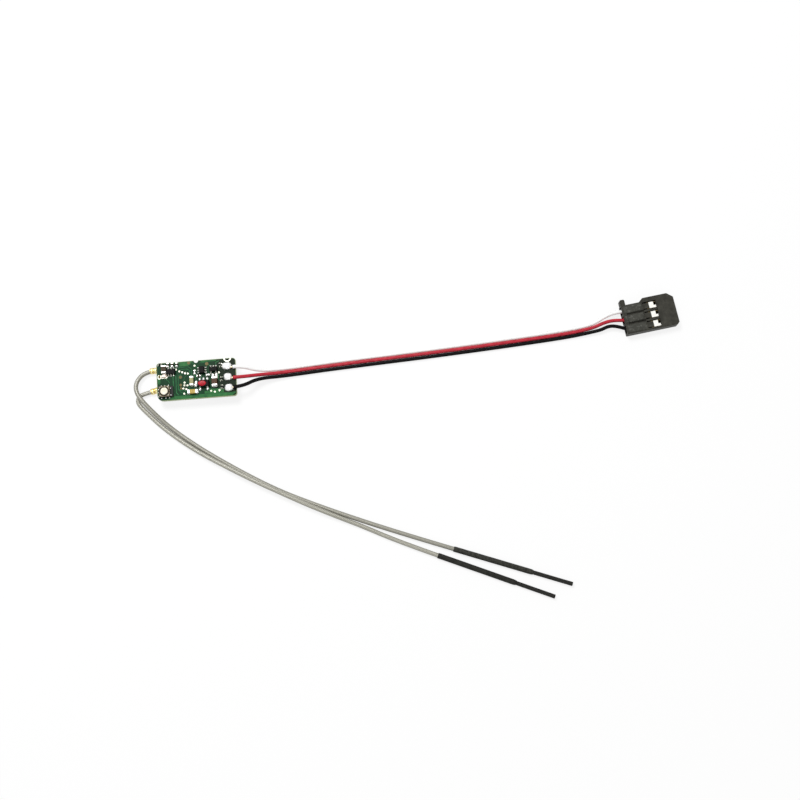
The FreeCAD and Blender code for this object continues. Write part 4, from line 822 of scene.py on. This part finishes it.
def solder_slope(bm, foot, out, width, height, across=6, along=7):
    """A hollow slope of solder from an upright face down to the end of its pad."""
    sideways = Vector((-out.y, out.x, 0))
    rings = []
    for k in range(along + 1):
        share = k / along
        level = height * (1 - share) ** HOLLOW
        spread = width / 2 * (1 - NARROWING * share**2)
        lower, upper = [], []
        for j in range(across + 1):
            turn = -1 + 2 * j / across
            ahead = SLOPE_REACH * share * (1 - TIP_ROUNDING * turn**4)
            place = foot + out * ahead + sideways * (spread * turn)
            lower.append(bm.verts.new(place))
            upper.append(bm.verts.new(place + Vector((0, 0, level * (1 - SIDE_DROP * abs(turn) ** 3)))))
        rings.append(upper + lower[::-1])
    skin(bm, rings, flat=range(across, 2 * across + 2), pressed=True)


slopes_bm, dull_bm = bmesh.new(), bmesh.new()
slope_count = 0
for ends, bodies, slope_bm, climb in (
    ("chip_resistor_ends", "chip_resistor_bodies", dull_bm, 0.3),
    ("chip_capacitor_ends", "chip_capacitor_bodies", slopes_bm, 0.34),
    ("ceramic_capacitor_ends", "ceramic_capacitor_body", slopes_bm, 0.3),
    ("bead_ends", "bead_body", slopes_bm, 0.4),
    ("tan_capacitor_ends", "tan_capacitor_body", slopes_bm, 0.3),
    ("radio_filter_ends", "radio_filter_body", slopes_bm, 0.3),
):
    middles = [middle_and_half(box_of(points))[0] for points in separate_solids(bodies)]
    for cap in separate_solids(ends):
        low, high = box_of(cap)
        centre = (low + high) / 2
        nearest = min(middles, key=lambda m: (m - centre).length)
        out = Vector((centre.x - nearest.x, centre.y - nearest.y, 0)).normalized()
        foot = Vector((centre.x, centre.y, PAD_TOP)) + out * (reach_of(cap, out) - SLOPE_OVERLAP)
        width = reach_of(cap, Vector((-out.y, out.x, 0))) * 2 * CAP_WIDTH_SHARE
        solder_slope(slope_bm, foot, out, width, min((high.z - PAD_TOP) * CAP_HEIGHT_SHARE, climb * MM))
        slope_count += 1
make_piece("solder_slopes", slopes_bm, "bright_solder")
make_piece("dull_solder_slopes", dull_bm, "dull_tin")
print("solder slopes", slope_count)

# %% [markdown]
# The leads of the chips are strips of thin sheet that leave the side of the case, bend down and end in a
# flat foot. A smooth step gives that line, and the strip gets its thickness square to it. A low mound of
# solder covers each foot.

# %% Helpers for leads and mounds
LEAD_SHEET = 0.13 * MM
# where a lead starts to bend and how long its bend is, as shares of its length
BEND_START, BEND_RUN = 0.12, 0.46
# how boxy the side view of a mound is, and how fine its outline and its surface are uneven
BULGE, OUTLINE_WAVES, SURFACE_WAVES = 2.4, 1.3, 1.6


def bent_strip(bm, start, out, width, reach, drop, count=18):
    """A strip that leaves a case level, steps down and ends level."""
    sideways = Vector((-out.y, out.x, 0))
    line = []
    for k in range(count + 1):
        share = k / count
        bend = min(max((share - BEND_START) / BEND_RUN, 0), 1)
        fall = bend * bend * (3 - 2 * bend)
        line.append(start + out * (reach * share) - Vector((0, 0, drop * fall)))
    rings = []
    for k, place in enumerate(line):
        ahead = (line[min(k + 1, count)] - line[max(k - 1, 0)]).normalized()
        above = ahead.cross(sideways) * LEAD_SHEET / 2
        sides = ((-1, -1), (1, -1), (1, 1), (-1, 1))
        rings.append([bm.verts.new(place + sideways * width / 2 * s + above * t) for s, t in sides])
    skin(bm, rings, flat=(1, 3))


def solder_mound(
    bm, centre, size, turn=0.0, around=24, rings=7, uneven=0.0, seed=0.0, fullness=0.75, squareness=2.0,
):
    """A mound with a round top, a little uneven if wanted. The size is half its length, half its width and
    its height. The less fullness, the steeper its edge."""
    half_length, half_width, height = size
    spin = Matrix.Rotation(turn, 3, "Z")
    levels = []
    for k in range(rings + 1):
        share = k / rings
        bulge = (1 - share**BULGE) ** fullness if k < rings else 0
        level = []
        for j in range(around):
            along, aside, unused = ray(2 * math.pi * j / around)
            outline = Vector((along * OUTLINE_WAVES, aside * OUTLINE_WAVES, seed))
            reach = 1 + uneven * noise.noise(outline)
            reach *= share / (abs(along) ** squareness + abs(aside) ** squareness) ** (1 / squareness)
            spot = spin @ Vector((half_length * reach * along, half_width * reach * aside, 0))
            waves = spot / MM * SURFACE_WAVES
            lift = 1 + uneven * noise.noise(Vector((waves.x, waves.y, seed + 5)))
            level.append(centre + spot + Vector((0, 0, height * bulge * lift)))
        levels.append(level if k else level[:1])
    skin(bm, [[bm.verts.new(place) for place in level] for level in levels])


# %% Leads of the chips and their solder
UPWARD = Vector((0, 0, 1))
# the regulator has large mounds past its feet, which lie slanting on the near side
FOOT_SIZE, FOOT_OFFSET, FOOT_SLANT = Vector((0.5, 0.35, 0.4)) * MM, 0.16 * MM, 0.3
# half the length and width of the mound on a small foot, and its place, as shares of the lead's own size
FOOT_LENGTH_SHARE, FOOT_WIDTH_SHARE, FOOT_PLACE_SHARE = 0.5, 0.62, 0.3
FOOT_COVER = LEAD_SHEET * 1.9
feet_bm = bmesh.new()
for chip in CHIPS:
    case_middle, case_half = middle_and_half(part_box(chip + "_body"))
    leads_bm = bmesh.new()
    for lead in separate_solids(chip + "_leads"):
        centre, half = middle_and_half(box_of(lead))
        off = centre - case_middle
        beside = abs(off.x) > case_half.x
        if beside:
            out = Vector((math.copysign(1, off.x), 0, 0))
            reach, width = half.x * 2, half.y * 2
        else:
            out = Vector((0, math.copysign(1, off.y), 0))
            reach, width = half.y * 2, half.x * 2
        top = centre.z + half.z - LEAD_SHEET / 2
        start = Vector((centre.x, centre.y, top)) - out * (reach / 2)
        bent_strip(leads_bm, start, out, width, reach, top - PAD_TOP - LEAD_SHEET / 2)
        turn = 0.0 if beside else math.pi / 2
        foot = Vector((centre.x, centre.y, PAD_TOP))
        if chip == "regulator":
            turn -= FOOT_SLANT if out.y < 0 else 0.0
            foot += out * FOOT_OFFSET
            solder_mound(feet_bm, foot, FOOT_SIZE, turn, rings=8, uneven=0.12, seed=centre.x / MM)
        else:
            foot += out * (reach * FOOT_PLACE_SHARE)
            size = (reach * FOOT_LENGTH_SHARE, width * FOOT_WIDTH_SHARE, FOOT_COVER)
            solder_mound(feet_bm, foot, size, turn, around=18, rings=5)
    make_piece(chip + "_strips", leads_bm, "tinned_copper", [chip + "_leads"])

# place, half length, half width and height in millimetres, and turn
HAND_TOUCHED = [
    (-6.53, 1.94, 0.36, 0.22, 0.16, 0.2), (-0.15, -1.2, 0.92, 0.5, 0.52, 1.43),
    (4.98, 0.72, 0.36, 0.5, 0.5, 0), (4.36, 0.72, 0.3, 0.5, 0.46, 0),
    (-0.4, 1.95, 0.3, 0.42, 0.46, 0), (2.95, 0.95, 0.42, 0.34, 0.46, 0),
]
for k, (x, y, *size, turn) in enumerate(HAND_TOUCHED):
    foot = Vector((x * MM, y * MM, PAD_TOP))
    solder_mound(feet_bm, foot, Vector(size) * MM, turn, 28, 9, 0.12, 20.0 + k, 0.5)
make_piece("foot_solder", feet_bm, "bright_solder")
antenna_pad_bm, tarnished_bm = bmesh.new(), bmesh.new()
foot = Vector((-8.29 * MM, 1.5 * MM, PAD_TOP))
solder_mound(antenna_pad_bm, foot, Vector((0.86, 0.56, 0.3)) * MM, 0.1, 32, 10, 0.2, 31.0, 0.55)
make_piece("antenna_pad_solder", antenna_pad_bm, "flux_solder")
foot = Vector((-9.52 * MM, 1.38 * MM, PAD_TOP))
solder_mound(tarnished_bm, foot, Vector((0.3, 0.48, 0.16)) * MM, uneven=0.2, seed=33.0)
make_piece("tarnished_pad", tarnished_bm, "tarnished_copper")

# %% [markdown]
# The three wires are soldered by hand, so their joints are large, round and not quite alike. Each is one
# mound with a little unevenness that stays the same on every run, because it comes from a fixed noise.
# The bare strands run into it from the right.

# %% Joints of the lead
joint_places = []
for k, joint in enumerate(("signal_joint", "power_joint", "ground_joint")):
    centre, half = middle_and_half(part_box(joint))
    joint_places.append((centre, half))
    joint_bm = bmesh.new()
    foot = Vector((centre.x, centre.y, PAD_TOP))
    size = (half.x, half.y * 1.08, centre.z + half.z - PAD_TOP)
    solder_mound(joint_bm, foot, size, 0.0, 48, 16, 0.08, 3.0 + 7 * k, 0.42, 2.7)
    make_piece(joint + "_solder", joint_bm, "bright_solder", [joint])


def strand_bundle(bm, start, length, radius, strands=7, steps=8, twist=0.9):
    """Thin strands along X, laid round one in the middle with a slight twist."""
    fine = radius / 3
    for k in range(strands):
        line = []
        for step in range(steps + 1):
            share = step / steps
            angle = 2 * math.pi * k / (strands - 1) + share * twist
            aside = 0 if k == strands - 1 else radius - fine
            line.append(start + Vector((length * share, math.cos(angle) * aside, math.sin(angle) * aside)))
        made = tube(line, fine, 8)
        scratch = bpy.data.meshes.new("strand")
        made.to_mesh(scratch)
        made.free()
        bm.from_mesh(scratch)
        bpy.data.meshes.remove(scratch)


bare_bm = bmesh.new()
for solid in separate_solids("stripped_ends"):
    centre, half = middle_and_half(box_of(solid))
    strand_bundle(bare_bm, centre - Vector((half.x, 0, 0)), half.x * 2, half.z)
make_piece("bare_strands", bare_bm, "strand_metal", ["stripped_ends"])

# %% [markdown]
# The red dot is a drop of lacquer. Surface tension makes it lens-shaped and its outline a little uneven,
# so the same mound does for it. The button's solder points are small mounds too.

# %% Lacquer dot and solder points of the button
LACQUER_HEIGHT = 0.09 * MM
centre, half = middle_and_half(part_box("lacquer_dot"))
dot_bm, points_bm = bmesh.new(), bmesh.new()
size = (half.x, half.y, LACQUER_HEIGHT)
solder_mound(dot_bm, centre - UPWARD * half.z, size, around=40, rings=10, uneven=0.1, seed=11.0)
make_piece("lacquer_drop", dot_bm, "red_lacquer", ["lacquer_dot"])
for k, solid in enumerate(separate_solids("switch_terminals")):
    centre, half = middle_and_half(box_of(solid))
    size = Vector((1, 1, 1.2)) * half.x
    solder_mound(points_bm, centre - UPWARD * half.z, size, around=18, rings=6, uneven=0.2, seed=float(k))
make_piece("button_solder_points", points_bm, "bright_solder", ["switch_terminals"])

# %% [markdown]
# The button is a snap dome under a round cap, held in by a sheet frame. The cap has a rounded rim and a
# shallow hollow where the finger goes. Turning one outline round an axis makes such a part. A real dome
# flattens as the cap goes down; here the dome gets a mesh of its own.

# %% Button
CAP_RADIUS, FLANGE_HEIGHT, DOME_SHEET = 0.925, 0.18, 0.05


def turned_part(axis, outline, around=48):
    """A closed part turned round an upright axis. The outline is radius and height, in metres."""
    bm = bmesh.new()
    rings = []
    for radius, height in outline:
        spots = [axis + ray(2 * math.pi * j / around) * radius for j in range(around if radius > 1e-9 else 1)]
        rings.append([bm.verts.new((spot.x, spot.y, height)) for spot in spots])
    skin(bm, rings)
    for edge in bm.edges:
        edge.smooth = not is_sharp(edge, 40)
    return bm


low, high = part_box("switch_plunger")
axis = (low + high) / 2
flange_radius = (high.x - low.x) / 2
flange_top = low.z + FLANGE_HEIGHT * MM
cap_outline = [(0, low.z), (flange_radius, low.z), (flange_radius, flange_top), (CAP_RADIUS * MM, flange_top)]
# millimetres in from the cap's side, and down from its top
for inward, down in (
    (0, 0.1), (0.02, 0.045), (0.07, 0.01), (0.13, 0), (CAP_RADIUS * 0.4, 0.025), (CAP_RADIUS * 0.7, 0.05),
    (CAP_RADIUS, 0.055),
):
    cap_outline.append(((CAP_RADIUS - inward) * MM, high.z - down * MM))

# the cap is cream, and its flange is painted near black as painted shade in the gap round the cap, which
# shows only through the hole in the frame
cream = new_finish("cream_button", 0.32, shine=0.3)
place = millimetres(cream)
x, y, z = axes_of(place)
x, y = x - axis.x / MM, y - axis.y / MM
gap_shade = between((x * x + y * y).step("SQRT"), CAP_RADIUS + 0.01, CAP_RADIUS + 0.03)
cream_colour = clouds(place, 0.5, (236, 226, 200), (250, 244, 226))
surface(cream, two_colours(gap_shade, cream_colour, (22, 20, 17)), grain(place, 0.12), 0.003)
cap_bm = turned_part(axis, cap_outline)
make_piece("button_cap", cap_bm, "cream_button", ["switch_plunger"], "button")

low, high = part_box("switch_dome")
dome_radius = (high.x - low.x) / 2
upper_side, lower_side = [], []
for k in range(13):
    share = k / 12
    height = low.z + (high.z - low.z) * (1 - share**2)
    upper_side.append((dome_radius * share, height))
    lower_side.append(((dome_radius - DOME_SHEET * MM) * share, max(height - DOME_SHEET * MM, low.z)))
dome_bm = turned_part(axis, upper_side + lower_side[::-1])
dome = make_piece("snap_dome", dome_bm, "spring_steel", ["switch_dome"])
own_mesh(dome)
print("button cap", CAP_RADIUS * 2, "mm across")

# %% Frame and base of the button
STUD_INSET = 0.36 * MM
STUD_SIZE = Vector((0.15, 0.15, 0.07)) * MM
# the frame's steel is painted dark: a painted dark reflection
rounded_copy("button_frame", "switch_cover", 0.02, "steel_painted_dark", "button_frame")
rounded_copy("button_base", "switch_base", 0.04, "black_plastic", "button_black")
low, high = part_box("switch_cover")
studs_bm = bmesh.new()
for x in (low.x + STUD_INSET, high.x - STUD_INSET):
    for y in (low.y + STUD_INSET, high.y - STUD_INSET):
        solder_mound(studs_bm, Vector((x, y, high.z)), STUD_SIZE, around=16, rings=5)
make_piece("button_studs", studs_bm, "tinned_copper")

# %% [markdown]
# Each antenna cable ends in a small drawn plug under the board. What shows past the edge is its crimp: two
# bands folded round the cable with a gap between them. A band is an open ring, so it never reaches below
# the barrel that it lies on.

# %% Crimp bands of the antenna plugs
SOCKET_X, BARREL_RADIUS, BAND_SHEET = -8.75, 0.745, 0.1
BAND_OPENING = 70


def folded_band(bm, centre, out, width, count=22):
    """A band round a lying cable, open at the bottom."""
    sideways = Vector((-out.y, out.x, 0))
    rings = []
    for k in range(count + 1):
        angle = math.radians(-90 + BAND_OPENING + (360 - 2 * BAND_OPENING) * k / count)
        outward = sideways * math.cos(angle) + UPWARD * math.sin(angle)
        ring = []
        for along, level in ((-1, 0), (-0.8, 1), (0.8, 1), (1, 0)):
            place = centre + out * (width / 2 * along) + outward * (BARREL_RADIUS + BAND_SHEET * level)
            ring.append(bm.verts.new(place * MM))
        rings.append(ring)
    skin(bm, rings)


for side, socket_y, turn in (("far", 3.68, 180), ("near", -1.25, 190)):
    out = ray(math.radians(turn))
    socket = Vector((SOCKET_X, socket_y, BARREL_RADIUS))
    bands_bm = bmesh.new()
    for distance, width in ((3.05, 0.62), (2.05, 0.7)):
        folded_band(bands_bm, socket + out * distance, out, width)
    # the bands are the paler copy of the gold: painted highlight
    make_piece(side + "_crimp_bands", bands_bm, "gold_painted_lit")

# %% [markdown]
# The sleeves are heat-shrink tubing. It follows what is under it, so its surface is a little wavy, its
# rear edge stands up, and it draws in at the front where the thinner tip comes out. A tube whose radius
# changes with distance and angle does all of that.

# %% Sleeves and tips
SLEEVE_RADIUS, SLEEVE_LENGTH = 0.72 * MM, 20.8 * MM
TIP_RADIUS, TIP_LENGTH = 0.54 * MM, 10.1 * MM
# in millimetres, how long the raised rim, the drawn-in shoulder and the round of the cut edge are
RIM_LENGTH, SHOULDER_LENGTH, EDGE_LENGTH = 0.45, 0.9, 0.25
EDGE_DROP = 0.06


def shrunk(length, radius, waves, seed, neck, rim=0.0):
    """The radius of a shrunk sleeve at each distance and angle. Its first edge stands up by the rim."""
    def radius_at(distance, turns):
        angle = 2 * math.pi * turns
        past = distance / MM
        spot = Vector((past * 0.55, math.cos(angle) * 0.8, math.sin(angle) * 0.8 + seed))
        lumps = 1 - waves * (0.5 + 0.5 * noise.noise(spot)) - rim * min(max(past - RIM_LENGTH, 0) * 3, 1)
        shoulder = min(max((length / MM - past) / SHOULDER_LENGTH, 0), 1)
        drawn = neck + (1 - neck) * shoulder**0.5
        edge = 1 - EDGE_DROP * max(1 - past / EDGE_LENGTH, 0)
        return radius * lumps * drawn * edge
    return radius_at


for side, place, turn, finish, waves in (
    ("far", (0.0622, -0.04817, 0.00072), -20.9, "scuffed_tubing", 0.026),
    ("near", (0.0581, -0.04948, 0.00072), -23.8, "shrink_tubing", 0.016),
):
    start, out, seed = Vector(place), ray(math.radians(turn)), len(side)
    line = [start + out * (SLEEVE_LENGTH * k / 110) for k in range(111)]
    profile = shrunk(SLEEVE_LENGTH, SLEEVE_RADIUS, waves, seed, TIP_RADIUS / SLEEVE_RADIUS, 0.012)
    sleeve_bm = tube(line, profile, 32)
    make_piece(side + "_shrink_sleeve", sleeve_bm, finish, [side + "_sleeve"])
    line = [start + out * (SLEEVE_LENGTH + TIP_LENGTH * k / 50) for k in range(51)]
    profile = shrunk(TIP_LENGTH * 2, TIP_RADIUS, 0.016, seed + 4, 1.0)
    make_piece(side + "_antenna_tip", tube(line, profile, 24), "tip_jacket", [side + "_tip"])

# %% [markdown]
# Pads are etched with round corners, and the solder on them ends in a thin rounded edge. So the upright
# corners of each packed pad are rounded by a share of its own width.

# %% Pads with round corners
# the share of a pad's width that a corner takes, and the largest corner
CORNER_SHARE, LARGEST_CORNER = 0.36, 0.62 * MM
# a pad under a joint of the lead is smaller than the joint: how near it is, and its share of the size
JOINT_REACH, PAD_SHARE = 1.25, 0.8
pads_bm = packed_mesh("solder_pads")
corner_groups = {}
for edge in pads_bm.edges:
    upright = abs(edge.verts[0].co.z - edge.verts[1].co.z) > 0.02 * MM
    if upright and is_sharp(edge, 60):
        narrow = min(max(side.calc_length() for side in face.edges) for face in edge.link_faces)
        rounding = round(min(narrow * CORNER_SHARE, LARGEST_CORNER), 6)
        corner_groups.setdefault(rounding, []).append(edge)
for rounding, corners in sorted(corner_groups.items()):
    corners = [edge for edge in corners if edge.is_valid]
    bmesh.ops.bevel(pads_bm, geom=corners, offset=rounding, segments=4, profile=0.5, affect="EDGES")
for face in pads_bm.faces:
    face.smooth = False
for vertex in pads_bm.verts:
    for centre, half in joint_places:
        off = vertex.co - centre
        if abs(off.x) < half.x * JOINT_REACH and abs(off.y) < half.y * JOINT_REACH:
            vertex.co.x = centre.x + off.x * PAD_SHARE
            vertex.co.y = centre.y + off.y * PAD_SHARE
            break
make_piece("round_pads", pads_bm, "tinned_copper", ["solder_pads"])
print("groups of pad corners", len(corner_groups))

# %% [markdown]
# The three latch fingers of the plug are slightly crowned, and their tops are a lighter copy of the nylon:
# partly wear, partly painted sheen. Each crown is a thin lens of its own on the flat finger: highest along
# its middle and gone at its edges.

# %% Crowned fingers of the plug
FINGER_START, FINGER_END = 0.3, 5.45
CROWN_FOOT, CROWN_HEIGHT, CROWN_RUN = 2.595, 0.1, 0.7


def crown(bm, near, far, steps=24, across=12):
    """A low crown over one finger, from its near side to its far side in the plug's own frame."""
    rows = []
    for k in range(steps + 1):
        share = k / steps
        length = FINGER_END - FINGER_START
        ends = min(min(share, 1 - share) * length / CROWN_RUN, 1)
        slope = ends * ends * (3 - 2 * ends)
        row = []
        for j in range(across + 1):
            turn = -1 + 2 * j / across
            level = CROWN_FOOT + CROWN_HEIGHT * slope * (1 - turn**2) ** 0.8
            place = in_plug(FINGER_START + length * share, near + (far - near) * (turn + 1) / 2, level)
            row.append(bm.verts.new(place * MM))
        rows.append(row)
    for first, second in zip(rows, rows[1:]):
        for j in range(across):
            bm.faces.new((first[j], second[j], second[j + 1], first[j + 1])).smooth = True
    rim = rows[0] + [row[-1] for row in rows[1:]] + rows[-1][-2::-1] + [row[0] for row in rows[-2:0:-1]]
    bm.faces.new(rim)


crowns_bm = bmesh.new()
for near, far in ((0.24, 2.46), (3.0, 5.0), (5.54, 7.6)):
    crown(crowns_bm, near, far)
# the crowns get the lighter copy of the nylon: partly wear, partly painted sheen
make_piece("finger_crowns", crowns_bm, "wear_and_sheen_nylon")

# %% [markdown]
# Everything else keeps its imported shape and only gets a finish: the board itself, the rings, the plug with
# its contacts, and the parts under the board.

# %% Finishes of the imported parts
SIDES = ("far", "near")
packed_finishes = {
    "lacquered_laminate": ["circuit_board"],
    "tinned_copper": ["vias"],
    "white_plastic": [s + p for s in SIDES for p in ("_socket_insulator", "_antenna_plug_insulator")],
    # the darker gold copy: painted shade on the plug barrels and socket contacts
    "gold_painted_shaded": [s + p for s in SIDES for p in ("_socket_contacts", "_antenna_plug")],
    "tin_plate": ["shield_can"],
    "moulded_epoxy": ["transceiver_chip", "microcontroller_chip"],
    "lid_plating": ["crystal"],
    "eroded_nylon": ["plug_housing"],
    "plated_bronze": ["signal_contact", "power_contact", "ground_contact"],
    "strand_metal": ["crimped_ends"],
}
finished = []
for finish, kept_nodes in packed_finishes.items():
    for node in kept_nodes:
        nodes[node].data.materials.clear()
        nodes[node].data.materials.append(finishes[finish])
        finished.append(node)
plain = [n for n, o in nodes.items() if not o.hide_render and n not in finished]
print("packed parts with a finish", len(finished), "left plain", plain)

# %% [markdown]
# Last, each cord's name tells whether it is an antenna cable or a wire, and so which pieces are on its
# far end.

ON_ANTENNA = ("_shrink_sleeve", "_antenna_tip", "_antenna_plug", "_antenna_plug_insulator", "_crimp_bands")
PLUG_PIECES = [
    "plug_housing", "finger_crowns", "signal_contact", "power_contact", "ground_contact", "crimped_ends",
]
for node, piece in cord_pieces.items():
    side, kind = node.split("_")
    antenna = kind == "coax"
    [side + part for part in ON_ANTENNA] if antenna else PLUG_PIECES
